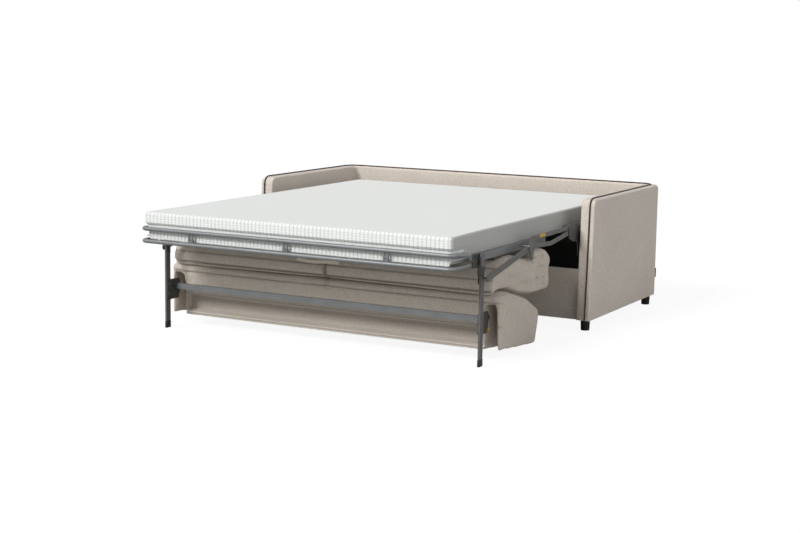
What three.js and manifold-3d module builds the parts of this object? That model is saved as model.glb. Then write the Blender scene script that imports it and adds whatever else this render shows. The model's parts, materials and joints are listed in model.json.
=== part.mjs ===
// Sleeper sofa, drawn with its bed pulled out.
// Millimetres, +X to the viewer's right, +Y to the sofa's back, +Z up, floor at zero.
// Inside the groups Y counts from the front foot of the arms; the last group centres the whole object.
// The bed turns over: seat unit and backrest hang upside down under the unfolded frame.

import * as THREE from 'three';
import { mergeVertices } from 'three/addons/utils/BufferGeometryUtils.js';
import Module from 'manifold-3d';

const wasm = await Module();
wasm.setup();

// Driving sizes of the sofa shell
const shellWidth = 1923;
const shellDepth = 1000;
const shellHeight = 653;
const footHeight = 59;
const armThickness = 71;
const backThickness = 70;
const cornerRadius = 60;
const noseRadius = 38;
const armLean = 26;
const innerRound = 14;
const armEdge = 20;
const gap = 0.35;
const overrun = 6;
const armInner = shellWidth / 2 - armThickness;
const innerFace = armInner - gap;
const backInner = shellDepth - backThickness;

// Driving sizes of the bed
const mattressThickness = 110;
const mattressBottom = 480;
const mattressFront = 1190;
const headDrop = 436;
const headSlideBack = 110;
const backClearance = 20;
const mattressBack = backInner - headSlideBack - backClearance;
const headSplit = 20;
const seatSplit = -246;
const seatEnd = -977;
const tubeRadius = 10;
const wireThickness = 4;
const railHeight = 32;
const railWidth = 24;

// Layers between the arms, from the arm's inner face towards the middle
const plateThickness = 4;
const sideClearance = 1.5;
const guideDepth = 11;
const guideInner = innerFace - guideDepth;
const linkInset = 17.5;
const linkOuter = armInner - linkInset;
const linkInner = linkOuter - plateThickness;
const braceOuter = linkInner - sideClearance;
const braceInner = braceOuter - plateThickness;
const seatHalf = braceInner - sideClearance;
const legInset = 46.5;
const legThickness = 9;
const legOuter = armInner - legInset;
const legInner = legOuter - legThickness;
const plateOuter = legInner - gap;
const plateInner = plateOuter - plateThickness;
const railInset = 11;
const railOuter = legInner - railInset;
const mattressInset = 25;
const mattressHalf = railOuter - mattressInset;
const backrestInset = 4.5;
const backrestHalf = armInner - backrestInset;
const notchInset = { inner: 6, outer: 22 };
const notch = { inner: railOuter - notchInset.inner, outer: legOuter + notchInset.outer };

// Pivots of the turn-over frame, as points in the side view (Y, Z)
const pivotArm = [-65, 495];
const pivotSeat = [-525, 480];
const pivotEnd = [-977, 480];
const pivotBack = [-922, 200];
const pivotBrace = [-968, 392];
const braceTop = [-560, 470];
const pinRadius = 5;
const pinClearance = 0.4;

// Finishes
const finish = (color, roughness, metalness = 0) => new THREE.MeshStandardMaterial({
  color, roughness, metalness });
const upholstery = finish(0xb5a89c, 0.95);
const innerUpholstery = finish(0xaea196, 0.95);
const pipingCloth = finish(0x3a2a26, 0.9);
const knit = finish(0xeceeec, 0.95);
const greySteel = finish(0x868a8c, 0.4, 0.7);
const darkSteel = finish(0x4a4846, 0.5, 0.6);
const zincSteel = finish(0x9da1a4, 0.35, 0.8);
const blackPlastic = finish(0x191614, 0.6);
const board = finish(0x8c7a63, 0.85);

const sofa = new THREE.Group();
const place = (name, geometry, material) => {
  const piece = new THREE.Mesh(geometry, material);
  piece.name = name;
  sofa.add(piece);
  return piece;
};

// Boolean helpers
const positionsOnly = (geometry) => {
  const bare = geometry.index ? geometry.toNonIndexed() : geometry.clone();
  bare.deleteAttribute('normal');
  bare.deleteAttribute('uv');
  return mergeVertices(bare, 1e-3);
};
const toSolid = (geometry) => {
  const merged = positionsOnly(geometry);
  const mesh = new wasm.Mesh({
    numProp: 3,
    vertProperties: new Float32Array(merged.attributes.position.array),
    triVerts: new Uint32Array(merged.index.array),
  });
  return new wasm.Manifold(mesh);
};
const toGeometry = (solid) => {
  const mesh = solid.getMesh();
  const geometry = new THREE.BufferGeometry();
  geometry.setAttribute('position', new THREE.BufferAttribute(new Float32Array(mesh.vertProperties), 3));
  geometry.setIndex(new THREE.BufferAttribute(new Uint32Array(mesh.triVerts), 1));
  geometry.computeVertexNormals();
  return geometry;
};
const cut = (body, ...tools) => toGeometry(
  tools.reduce((solid, tool) => solid.subtract(toSolid(tool)), toSolid(body)));
const join = (...bodies) => toGeometry(bodies.map(toSolid).reduce((sum, solid) => sum.add(solid)));

// Shape helpers: side-view outlines in (Y, Z) become prisms along X
const sideToWorld = new THREE.Matrix4().makeBasis(
  new THREE.Vector3(0, 1, 0), new THREE.Vector3(0, 0, 1), new THREE.Vector3(1, 0, 0));
const prismX = (shape, fromX, toX, segments = 6) => {
  const low = Math.min(fromX, toX);
  const geometry = new THREE.ExtrudeGeometry(shape, {
    depth: Math.abs(toX - fromX), bevelEnabled: false, curveSegments: segments });
  return geometry.applyMatrix4(sideToWorld).translate(low, 0, 0);
};
const prismZ = (shape, fromZ, toZ, segments = 6) => new THREE.ExtrudeGeometry(shape, {
  depth: toZ - fromZ, bevelEnabled: false, curveSegments: segments }).translate(0, 0, fromZ);
const outline = (points) => new THREE.Shape(points.map(([u, v]) => new THREE.Vector2(u, v)));
const boxBetween = (x, y, z) => {
  const size = [x, y, z].map(([low, high]) => Math.abs(high - low));
  const middle = [x, y, z].map(([low, high]) => (low + high) / 2);
  return new THREE.BoxGeometry(...size).translate(...middle);
};
const roundedShape = (low, high, radius) => {
  const shape = new THREE.Shape();
  const [u0, v0] = low;
  const [u1, v1] = high;
  shape.moveTo(u0 + radius, v0);
  shape.lineTo(u1 - radius, v0);
  shape.absarc(u1 - radius, v0 + radius, radius, -Math.PI / 2, 0);
  shape.lineTo(u1, v1 - radius);
  shape.absarc(u1 - radius, v1 - radius, radius, 0, Math.PI / 2);
  shape.lineTo(u0 + radius, v1);
  shape.absarc(u0 + radius, v1 - radius, radius, Math.PI / 2, Math.PI);
  shape.lineTo(u0, v0 + radius);
  shape.absarc(u0 + radius, v0 + radius, radius, Math.PI, Math.PI * 1.5);
  return shape;
};
const rodX = ([y, z], fromX, toX, radius, sides = 16) => new THREE.CylinderGeometry(
  radius, radius, Math.abs(toX - fromX), sides).rotateZ(Math.PI / 2).translate((fromX + toX) / 2, y, z);
const hole = ([y, z], radius) => {
  const path = new THREE.Path();
  path.absarc(y, z, radius, 0, Math.PI * 2);
  return path;
};

// A flat bar with round ends, seen from the side
const barShape = (from, to, width) => {
  const angle = Math.atan2(to[1] - from[1], to[0] - from[0]);
  const shape = new THREE.Shape();
  shape.absarc(to[0], to[1], width / 2, angle - Math.PI / 2, angle + Math.PI / 2);
  shape.absarc(from[0], from[1], width / 2, angle + Math.PI / 2, angle + Math.PI * 1.5);
  return shape;
};

// Rings of equal count become one closed skin with fanned ends
const loft = (rings) => {
  const count = rings[0].length;
  const points = rings.flat();
  const faces = [];
  rings.slice(1).forEach((_, ring) => {
    for (let i = 0; i < count; i += 1) {
      const a = ring * count + i;
      const b = ring * count + (i + 1) % count;
      faces.push(a, b, b + count, a, b + count, a + count);
    }
  });
  const centre = (ring) => ring.reduce((sum, p) => sum.add(p), new THREE.Vector3()).divideScalar(count);
  const last = (rings.length - 1) * count;
  points.push(centre(rings[0]), centre(rings[rings.length - 1]));
  for (let i = 0; i < count; i += 1) {
    const next = (i + 1) % count;
    faces.push(points.length - 2, next, i, points.length - 1, last + i, last + next);
  }
  const volume = (a, b, c) => points[a].dot(points[b].clone().cross(points[c]));
  let inside = 0;
  for (let i = 0; i < faces.length; i += 3) inside += volume(faces[i], faces[i + 1], faces[i + 2]);
  if (inside < 0) faces.reverse();
  const geometry = new THREE.BufferGeometry();
  geometry.setAttribute('position', new THREE.BufferAttribute(
    new Float32Array(points.flatMap((p) => [p.x, p.y, p.z])), 3));
  geometry.setIndex(faces);
  geometry.computeVertexNormals();
  return geometry;
};

// A side-view outline smoothed into evenly spaced points
const smoothOutline = (points, count) => {
  const places = points.map(([y, z]) => new THREE.Vector3(0, y, z));
  const curve = new THREE.CatmullRomCurve3(places, true, 'centripetal');
  return curve.getSpacedPoints(count).slice(0, count);
};

// A stuffed form: the section keeps its size across the middle and draws in towards both ends
const leastShare = 0.2;
const flatShares = [0.25, 0.5, 0.75];
const stuffed = (points, fromX, toX, { count, endRound, rings }) => {
  const section = smoothOutline(points, count);
  const middle = section.reduce((sum, p) => sum.clone().add(p), new THREE.Vector3()).divideScalar(count);
  const low = Math.min(fromX, toX);
  const width = Math.abs(toX - fromX);
  const stations = [];
  for (let i = 0; i <= rings; i += 1) stations.push(endRound * (1 - Math.cos(i / rings * Math.PI / 2)));
  const flats = flatShares.map((share) => endRound + share * (width - 2 * endRound));
  const all = [...stations, ...flats, ...stations.map((s) => width - s).reverse()];
  return loft(all.map((s) => {
    const fromEnd = Math.min(s, width - s);
    const inset = Math.max(0, endRound - fromEnd);
    const drawIn = endRound - Math.sqrt(Math.max(0, endRound ** 2 - inset ** 2));
    return section.map((p) => {
      const out = p.clone().sub(middle);
      const reach = out.length();
      const kept = Math.max(reach * leastShare, reach - drawIn);
      return new THREE.Vector3(low + s, middle.y + out.y * kept / reach, middle.z + out.z * kept / reach);
    });
  }));
};

// Sofa shell: two slim arms and the back between them
const armShape = () => {
  const shape = new THREE.Shape();
  const top = shellHeight;
  shape.moveTo(0, footHeight);
  shape.lineTo(shellDepth, footHeight);
  shape.lineTo(shellDepth, top - cornerRadius);
  shape.absarc(shellDepth - cornerRadius, top - cornerRadius, cornerRadius, 0, Math.PI / 2);
  shape.lineTo(armLean + noseRadius, top);
  shape.absarc(armLean + noseRadius, top - noseRadius, noseRadius, Math.PI / 2, Math.PI);
  return shape;
};
const planShape = (side) => {
  const outer = side * shellWidth / 2;
  const inner = side * armInner;
  const rim = side * cornerRadius;
  const shape = new THREE.Shape();
  shape.moveTo(inner, -overrun);
  shape.lineTo(outer, -overrun);
  shape.lineTo(outer, shellDepth - cornerRadius);
  shape.absarc(outer - rim, shellDepth - cornerRadius, cornerRadius,
    side > 0 ? 0 : Math.PI, Math.PI / 2, side < 0);
  shape.lineTo(inner, shellDepth);
  return shape;
};
const topShape = (side) => {
  const outer = side * shellWidth / 2;
  const inner = side * armInner;
  const rim = side * armEdge;
  const shape = new THREE.Shape();
  shape.moveTo(inner, footHeight);
  shape.lineTo(outer, footHeight);
  shape.lineTo(outer, shellHeight - armEdge);
  shape.absarc(outer - rim, shellHeight - armEdge, armEdge, side > 0 ? 0 : Math.PI, Math.PI / 2, side < 0);
  shape.lineTo(inner + side * innerRound, shellHeight);
  shape.quadraticCurveTo(inner, shellHeight, inner, shellHeight - innerRound);
  return shape;
};
const across = new THREE.Matrix4().makeBasis(
  new THREE.Vector3(1, 0, 0), new THREE.Vector3(0, 0, 1), new THREE.Vector3(0, -1, 0));
const intersect = (...bodies) => toGeometry(bodies.map(toSolid).reduce((sum, solid) => sum.intersect(solid)));
const arm = (side) => {
  const outer = side * (shellWidth / 2 + overrun);
  const fromSide = prismX(armShape(), side * armInner, outer, 8);
  const fromTop = prismZ(planShape(side), 0, shellHeight + overrun, 8);
  const fromFront = new THREE.ExtrudeGeometry(topShape(side), {
    depth: shellDepth + 2 * overrun, bevelEnabled: false, curveSegments: 5,
  }).applyMatrix4(across).translate(0, shellDepth + overrun, 0);
  return intersect(fromSide, fromTop, fromFront);
};
place('arm_left', arm(-1), upholstery);
place('arm_right', arm(1), upholstery);

const backShape = () => {
  const shape = new THREE.Shape();
  const inner = backInner;
  shape.moveTo(inner, footHeight);
  shape.lineTo(shellDepth, footHeight);
  shape.lineTo(shellDepth, shellHeight - cornerRadius);
  shape.absarc(shellDepth - cornerRadius, shellHeight - cornerRadius, cornerRadius, 0, Math.PI / 2);
  shape.quadraticCurveTo(inner, shellHeight, inner, shellHeight - innerRound);
  return shape;
};
place('back_panel', prismX(backShape(), -innerFace, innerFace, 8), upholstery);

// Front panel of the base between the arms
const panelFront = 30;
const panelThickness = 18;
const panelTop = 305;
const panelBottom = 55;
const panelRound = 4;
place('base_front_panel', prismX(
  roundedShape([panelFront, panelBottom], [panelFront + panelThickness, panelTop], panelRound),
  -innerFace, innerFace, 2), upholstery);

// Four turned feet under the arms
const footTop = 25;
const footTaper = 21.5;
const footEdge = 2;
const footInset = { x: 48, front: 73, rear: 50 };
const foot = (side, y) => new THREE.LatheGeometry([
  new THREE.Vector2(0, 0), new THREE.Vector2(footTaper - footEdge, 0),
  new THREE.Vector2(footTaper, footEdge), new THREE.Vector2(footTop, footHeight - gap),
  new THREE.Vector2(0, footHeight - gap)], 20)
  .rotateX(Math.PI / 2).translate(side * (shellWidth / 2 - footInset.x), y, 0);
place('foot_front_left', foot(-1, footInset.front), blackPlastic);
place('foot_front_right', foot(1, footInset.front), blackPlastic);
place('foot_rear_left', foot(-1, shellDepth - footInset.rear), blackPlastic);
place('foot_rear_right', foot(1, shellDepth - footInset.rear), blackPlastic);

// Dark piping laid on the rim of the shell, from one front foot to the other
const pipingRadius = 3.6;
const pipingSide = 20;
const pipingBack = 58;
const pipingBottom = 64;
const pipingClearance = 0.6;
const noseSteps = 10;
const cornerSteps = 6;
const rimRoute = () => {
  const lift = pipingRadius + pipingClearance;
  const x = shellWidth / 2 - pipingSide - pipingRadius;
  const top = shellHeight + lift;
  const nose = noseRadius + lift;
  const noseAt = [armLean + noseRadius, shellHeight - noseRadius];
  const arc = Array.from({ length: noseSteps + 1 }, (_, step) => {
    const angle = Math.PI - step / noseSteps * Math.PI / 2;
    return new THREE.Vector3(x, noseAt[0] + nose * Math.cos(angle), noseAt[1] + nose * Math.sin(angle));
  });
  const lean = armLean / (noseAt[1] - footHeight);
  const bottom = new THREE.Vector3(x, lean * (pipingBottom - footHeight) - lift, pipingBottom);
  const rearY = shellDepth - pipingBack - cornerRadius;
  const corner = Array.from({ length: cornerSteps + 1 }, (_, step) => {
    const angle = step / cornerSteps * Math.PI / 2;
    return new THREE.Vector3(x - cornerRadius + cornerRadius * Math.cos(angle),
      rearY + cornerRadius * Math.sin(angle), top);
  });
  const half = [bottom, ...arc, ...corner];
  const mirrored = half.map((p) => new THREE.Vector3(-p.x, p.y, p.z)).reverse();
  return [...half, ...mirrored];
};
const ringsAlong = (points, radius, sides) => {
  const tangents = points.map((p, i) => {
    const before = points[Math.max(0, i - 1)];
    const after = points[Math.min(points.length - 1, i + 1)];
    return after.clone().sub(before).normalize();
  });
  let normal = new THREE.Vector3(1, 0, 0);
  return points.map((p, i) => {
    normal = normal.clone().addScaledVector(tangents[i], -normal.dot(tangents[i])).normalize();
    const second = tangents[i].clone().cross(normal);
    return Array.from({ length: sides }, (_, k) => {
      const angle = k / sides * Math.PI * 2;
      return p.clone().addScaledVector(normal, radius * Math.cos(angle))
        .addScaledVector(second, radius * Math.sin(angle));
    });
  });
};
const sweptTube = (points, radius, sides = 10) => loft(ringsAlong(points, radius, sides));
place('piping', sweptTube(rimRoute(), pipingRadius, 8), pipingCloth);

// Steel plates on the arms: the fixed pivots of the swing arms, each with a welded foot
const plateClearance = 1;
const bracketOutline = [[-82, 470], [-84, 520], [-62, 537], [0, 531], [96, 500], [112, 470], [96, 385],
  [62, 366], [38, 372], [26, 440], [-40, 452]];
const bracketFoot = { y: [60, 100], z: [390, 480] };
const pinHead = 3;
const bracket = (side) => {
  const plateAt = linkOuter + plateClearance;
  const plate = prismX(outline(bracketOutline), side * plateAt, side * (plateAt + plateThickness));
  const foot = boxBetween([side * plateAt, side * innerFace], bracketFoot.y, bracketFoot.z);
  const pin = rodX(pivotArm, side * (linkInner - pinHead), side * (plateAt + plateClearance), pinRadius);
  return join(plate, foot, pin);
};
place('pivot_bracket_left', bracket(-1), darkSteel);
place('pivot_bracket_right', bracket(1), darkSteel);

// Guides on the arms: sloping slots in which the head section sinks when the bed is folded
const axleRise = 20;
const axleHeight = mattressBottom + axleRise;
const frontAxle = 400;
const rearAxleInset = 60;
const rearAxle = mattressBack - rearAxleInset;
const axleRadius = 8;
const slotRadius = 9;
const guideBottom = 62;
const guideRim = 22;
const guide = (side, axleY) => {
  const slope = headSlideBack / headDrop;
  const bottomY = axleY + slope * (axleHeight - guideBottom);
  const face = outline([[axleY - guideRim, axleHeight + guideRim], [axleY + guideRim, axleHeight + guideRim],
    [bottomY + guideRim, guideBottom], [bottomY - guideRim, guideBottom]]);
  const past = axleY + slope * (axleHeight - guideBottom + 2 * overrun);
  const slot = barShape([past, guideBottom - 2 * overrun], [axleY, axleHeight], 2 * slotRadius);
  return cut(prismX(face, side * guideInner, side * innerFace),
    prismX(slot, side * (guideInner - overrun), side * (innerFace + overrun)));
};
for (const [side, hand] of [[-1, 'left'], [1, 'right']]) {
  place(`head_guide_front_${hand}`, guide(side, frontAxle), zincSteel);
  place(`head_guide_rear_${hand}`, guide(side, rearAxle), zincSteel);
}

// Wire grids that carry the mattress: lengthways and crossways strips welded into one sheet
const gridColumns = 7;
const stripWidth = 6;
const crossInset = 0.7;
const grid = (name, fromY, toY, rows, ...more) => {
  const half = railOuter - railWidth - gap;
  const top = mattressBottom - gap;
  const pitchX = (2 * half - stripWidth) / gridColumns;
  const pitchY = (toY - fromY - stripWidth) / rows;
  const strips = [];
  for (let i = 0; i <= gridColumns; i += 1) {
    const x = -half + i * pitchX;
    strips.push(boxBetween([x, x + stripWidth], [fromY, toY], [top - wireThickness, top]));
  }
  for (let j = 0; j <= rows; j += 1) {
    const y = fromY + j * pitchY;
    strips.push(boxBetween([-half, half], [y, y + stripWidth],
      [top - wireThickness + crossInset, top - crossInset]));
  }
  place(name, join(...strips, ...more), zincSteel);
};

// Mattress in four lengths: head, fold, seat and foot end
const mattressRound = 16;
const mattressCorner = 18;
const cornerShares = [0, 0.1, 0.3, 0.6, 1];
const mattressDrawIn = 3;
const roundInset = (radius, distance) => (distance >= radius ? 0
  : radius - Math.sqrt(radius ** 2 - (radius - distance) ** 2));
const mattressSection = (planInset, faceInset) => {
  const half = mattressHalf - planInset;
  const low = mattressBottom + faceInset;
  const high = mattressBottom + mattressThickness - faceInset;
  const round = mattressRound;
  const section = [];
  const corner = (x, z, from) => {
    for (let k = 0; k <= 3; k += 1) {
      const angle = from + k / 3 * Math.PI / 2;
      section.push([x + round * Math.cos(angle), z + round * Math.sin(angle)]);
    }
  };
  corner(half - round, low + round, -Math.PI / 2);
  section.push([half - mattressDrawIn, (low + high) / 2]);
  corner(half - round, high - round, 0);
  section.push([half / 3, high], [-half / 3, high]);
  corner(round - half, high - round, Math.PI / 2);
  section.push([mattressDrawIn - half, (low + high) / 2]);
  corner(round - half, low + round, Math.PI);
  return section;
};
const mattressPart = (name, fromY, toY, roundFrom, roundTo) => {
  const length = toY - fromY;
  const round = cornerShares.map((share) => share * mattressCorner);
  const stations = [...(roundFrom ? round : [0]), length / 2,
    ...(roundTo ? round.map((s) => length - s).reverse() : [length])];
  const rings = stations.map((s) => {
    const end = roundFrom ? s : roundTo ? length - s : mattressCorner;
    return mattressSection(roundInset(mattressCorner, end), roundInset(mattressRound, end))
      .map(([x, z]) => new THREE.Vector3(x, fromY + s, z));
  });
  place(name, loft(rings), knit);
};
mattressPart('mattress_foot', -mattressFront, seatEnd - gap, true, false);
mattressPart('mattress_seat', seatEnd, seatSplit - gap, false, false);
mattressPart('mattress_fold', seatSplit, headSplit - gap, false, false);
mattressPart('mattress_head', headSplit, mattressBack, false, true);

// Head section: rails, four axle stubs in the guides, wire grid
const headFront = 24;
const headRearInset = 10;
const headRear = mattressBack - headRearInset;
const stubEnd = 1;
const headRail = (side) => {
  const rail = boxBetween([side * (railOuter - railWidth), side * railOuter],
    [headFront, headRear], [mattressBottom - railHeight / 2, axleHeight + axleRadius * 2]);
  const bore = (y) => rodX([y, axleHeight], side * (railOuter - railWidth - overrun),
    side * (railOuter + overrun), axleRadius + pinClearance);
  return cut(rail, bore(frontAxle), bore(rearAxle));
};
place('head_rail_left', headRail(-1), greySteel);
place('head_rail_right', headRail(1), greySteel);
for (const [side, hand] of [[-1, 'left'], [1, 'right']]) {
  for (const [y, where] of [[frontAxle, 'front'], [rearAxle, 'rear']]) {
    place(`head_stub_${where}_${hand}`, rodX([y, axleHeight],
      side * (railOuter - railWidth + stubEnd), side * (innerFace - stubEnd), axleRadius, 12), zincSteel);
  }
}
grid('head_grid', headFront, headRear, 6);

// Swing arms: two bars, a boss and a joining plate on each side, between fixed pivot and seat section
const linkWidth = 20;
const upperWidth = 18;
const upperBar = [[-79, 520], [-511, 520]];
const lowerBend = [-290, 470];
const joiningPlate = [[-541, 470], [-535, 528], [-499, 530], [-491, 480], [-505, 416], [-523, 416]];
const armBoss = [[-91, 486], [-89, 526], [-53, 530], [-49, 484], [-65, 479]];
const swingArm = (side, hand) => {
  const fromX = side * linkInner;
  const toX = side * linkOuter;
  const body = join(
    prismX(barShape(...upperBar, upperWidth), fromX, toX),
    prismX(barShape(pivotArm, lowerBend, linkWidth), fromX, toX),
    prismX(barShape(lowerBend, pivotSeat, linkWidth), fromX, toX),
    prismX(outline(joiningPlate), fromX, toX), prismX(outline(armBoss), fromX, toX));
  const past = [side * (linkInner - overrun), side * (linkOuter + overrun)];
  place(`swing_arm_${hand}`, cut(body, rodX(pivotArm, ...past, pinRadius + pinClearance),
    rodX(pivotSeat, ...past, pinRadius + pinClearance)), greySteel);
};
swingArm(-1, 'left');
swingArm(1, 'right');

// Seat section: rails with their pins, cross tubes and wire grid
const railBottom = 464;
const railTop = railBottom + railHeight;
const railFront = -990;
const seatRail = (side) => join(
  boxBetween([side * (railOuter - railWidth), side * railOuter],
    [railFront, seatSplit], [railBottom, railTop]),
  rodX(pivotSeat, side * (railOuter - railWidth / 2), side * linkOuter, pinRadius),
  rodX(pivotEnd, side * (railOuter - railWidth / 2), side * legOuter, pinRadius));
place('seat_rail_left', seatRail(-1), greySteel);
place('seat_rail_right', seatRail(1), greySteel);
const crossHalf = railOuter - railWidth - gap;
const crossRadius = 8;
const crossPlaces = { front: -940, rear: -262 };
const crossHeight = mattressBottom - wireThickness - crossRadius - gap;
const crossTube = (name, y) => place(name,
  rodX([y, crossHeight], -crossHalf, crossHalf, crossRadius, 12), greySteel);
crossTube('seat_cross_front', crossPlaces.front);
crossTube('seat_cross_rear', crossPlaces.rear);
const seatGridInset = 9;
grid('seat_grid', seatEnd + seatGridInset, seatSplit, 5);

// Seat unit, hanging upside down: board, front apron hooked over the board's edge, two cushions
const softGap = 0.5;
const boardInset = 12;
const boardHalf = railOuter - boardInset;
const boardPlace = [-790, -285];
const boardThickness = 14.6;
const boardTop = railBottom - gap;
const boardBottom = boardTop - boardThickness;
place('seat_board', boxBetween([-boardHalf, boardHalf], boardPlace, [boardBottom, boardTop]), board);
const seatTop = boardBottom - softGap;
const apronOutline = [[-430, 404], [-438, 424], [-424, 442], [-372, seatTop], [-350, seatTop],
  [-328, seatTop], [-290, 438], [-243, 398], [-252, 341], [-249, 280], [-262, 252], [-300, 246],
  [-331, 256], [-337, 300], [-341, 344], [-362, 366]];
const apronRound = 18;
place('seat_apron', stuffed(apronOutline, -seatHalf, seatHalf,
  { count: 36, endRound: apronRound, rings: 4 }), innerUpholstery);
const seatCushionOutline = [[-346, 262], [-372, 246], [-424, 245], [-602, 270], [-690, 296], [-742, 308],
  [-800, 314], [-868, 312], [-896, 298], [-912, 304], [-917, 335], [-912, 372], [-880, 398], [-824, 426],
  [-740, 445], [-706, seatTop], [-672, seatTop], [-638, seatTop], [-572, 432], [-451, 402], [-372, 370],
  [-345.6, 340]];
const cushionSplit = 2;
const seatRound = 18;
const seatCushion = (side) => stuffed(seatCushionOutline, side * cushionSplit, side * seatHalf,
  { count: 44, endRound: seatRound, rings: 5 });
place('seat_cushion_left', seatCushion(-1), innerUpholstery);
place('seat_cushion_right', seatCushion(1), innerUpholstery);

// Foot end: two bent tubes, three strap brackets, hinge gussets and a wire grid
const endTubeDrop = 26;
const endTubeHeight = mattressBottom - endTubeDrop;
const guardRise = 58;
const guardHeight = endTubeHeight + guardRise;
const endHalf = railOuter - tubeRadius;
const endCorner = 30;
const endFront = -1208;
const endTail = -1014;
const guardTail = -1052;
const guardBend = { y: 26, z: 12 };
const tubeGap = 1;
const cornerPoints = 6;
const bentTube = (backY, z, dropTo) => {
  const arc = Array.from({ length: cornerPoints + 1 }, (_, step) => {
    const angle = -step / cornerPoints * Math.PI / 2;
    return new THREE.Vector3(endHalf - endCorner + endCorner * Math.cos(angle),
      endFront + endCorner + endCorner * Math.sin(angle), z);
  });
  const tail = dropTo ? [new THREE.Vector3(endHalf, backY, dropTo),
    new THREE.Vector3(endHalf, backY - guardBend.y, z - guardBend.z)]
    : [new THREE.Vector3(endHalf, backY, z)];
  const rightHalf = [...tail, ...arc];
  const mirrored = rightHalf.map((p) => new THREE.Vector3(-p.x, p.y, p.z)).reverse();
  return sweptTube([...rightHalf, ...mirrored], tubeRadius, 12);
};
place('end_tube', bentTube(endTail, endTubeHeight), greySteel);
place('guard_rail', bentTube(guardTail, guardHeight, endTubeHeight + 2 * tubeRadius + tubeGap), greySteel);
const strapWidth = 9;
const strapThickness = 6;
const strapGap = 8;
const strapShares = [-0.6585, -0.027, 0.602];
const strapPlaces = strapShares.map((share) => share * endHalf);
const strap = (x) => {
  const low = endTubeHeight + tubeRadius + gap;
  const high = guardHeight - tubeRadius - gap;
  const depth = [endFront - strapThickness / 2, endFront + strapThickness / 2];
  const upright = (offset) => boxBetween(
    [x + offset - strapWidth / 2, x + offset + strapWidth / 2], depth, [low, high]);
  const pitch = (strapWidth + strapGap) / 2;
  const foot = boxBetween([x - pitch, x + pitch], depth, [low, low + strapWidth]);
  return join(upright(-pitch), upright(pitch), foot);
};
strapPlaces.forEach((x, index) => place(`guard_strap_${index + 1}`, strap(x), greySteel));
const gussetThickness = 3;
const gussetHalf = 12;
const gussetOutline = [[-998, 500], [-960, 500], [-952, 478], [-966, 462],
  [-1004, endTubeHeight - gussetHalf], [-1046, endTubeHeight - gussetHalf],
  [-1046, endTubeHeight + gussetHalf]];
const gusset = (side) => {
  const face = outline(gussetOutline);
  face.holes.push(hole(pivotEnd, pinRadius + pinClearance));
  return prismX(face, side * (railOuter + gap), side * (railOuter + gap + gussetThickness));
};
place('end_gusset_left', gusset(-1), darkSteel);
place('end_gusset_right', gusset(1), darkSteel);
const tabWidth = 10;
const tabInset = 4;
const tabDepth = 20;
const tabBottom = endTubeHeight + Math.sqrt(tubeRadius ** 2 - tabInset ** 2) + gap;
const endGridInset = 11;
const gridTabs = strapPlaces.map((x) => boxBetween([x - tabWidth / 2, x + tabWidth / 2],
  [endFront + tabInset, endFront + tabInset + tabDepth], [tabBottom, mattressBottom - gap - crossInset]));
grid('end_grid', endFront + 2 * tubeRadius, seatEnd - endGridInset, 2, ...gridTabs);

// Leg frame: two flat legs with black tips, two plates and the crossbar that the backrest turns on
const legDepth = 32;
const legTop = 502;
const tipHeight = 34;
const tipWall = 1.5;
const pinReach = 1;
const legShape = () => {
  const shape = new THREE.Shape();
  const y = pivotEnd[0];
  const half = legDepth / 2;
  shape.moveTo(y - half, tipHeight + gap);
  shape.lineTo(y + half, tipHeight + gap);
  shape.lineTo(y + half, legTop - half);
  shape.absarc(y, legTop - half, half, 0, Math.PI);
  shape.lineTo(y - half, tipHeight + gap);
  return shape;
};
const plateOutline = [[-991, 146], [-991, 229], [-983, 237], [-902, 236], [-889, 226], [-886, 190],
  [-901, 138], [-983, 138]];
for (const [side, hand] of [[-1, 'left'], [1, 'right']]) {
  const leg = cut(prismX(legShape(), side * legInner, side * legOuter, 8),
    rodX(pivotEnd, side * (legInner - overrun), side * (legOuter + overrun), pinRadius + pinClearance));
  const bracePin = rodX(pivotBrace,
    side * (legOuter - legThickness / 2), side * (braceOuter + pinReach), pinRadius);
  place(`leg_${hand}`, join(leg, bracePin), greySteel);
  const tipHalf = legDepth / 2 + tipWall;
  place(`leg_tip_${hand}`, boxBetween([side * (legInner - tipWall), side * (legOuter + tipWall)],
    [pivotEnd[0] - tipHalf, pivotEnd[0] + tipHalf], [0, tipHeight]), blackPlastic);
  place(`leg_plate_${hand}`, prismX(outline(plateOutline), side * plateInner, side * plateOuter), darkSteel);
}
const barDepth = 16;
const barHeight = 28;
place('crossbar', boxBetween([-plateInner + gap, plateInner - gap],
  [pivotBack[0] - barDepth / 2, pivotBack[0] + barDepth / 2],
  [pivotBack[1] - barHeight / 2, pivotBack[1] + barHeight / 2]), greySteel);

// Braces between the legs and the swing arms, open at their upper end
const braceWidth = 28;
for (const [side, hand] of [[-1, 'left'], [1, 'right']]) {
  const bar = prismX(barShape(pivotBrace, braceTop, braceWidth), side * braceInner, side * braceOuter);
  place(`brace_${hand}`, cut(bar, rodX(pivotBrace, side * (braceInner - overrun),
    side * (braceOuter + overrun), pinRadius + pinClearance)), greySteel);
}

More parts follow.
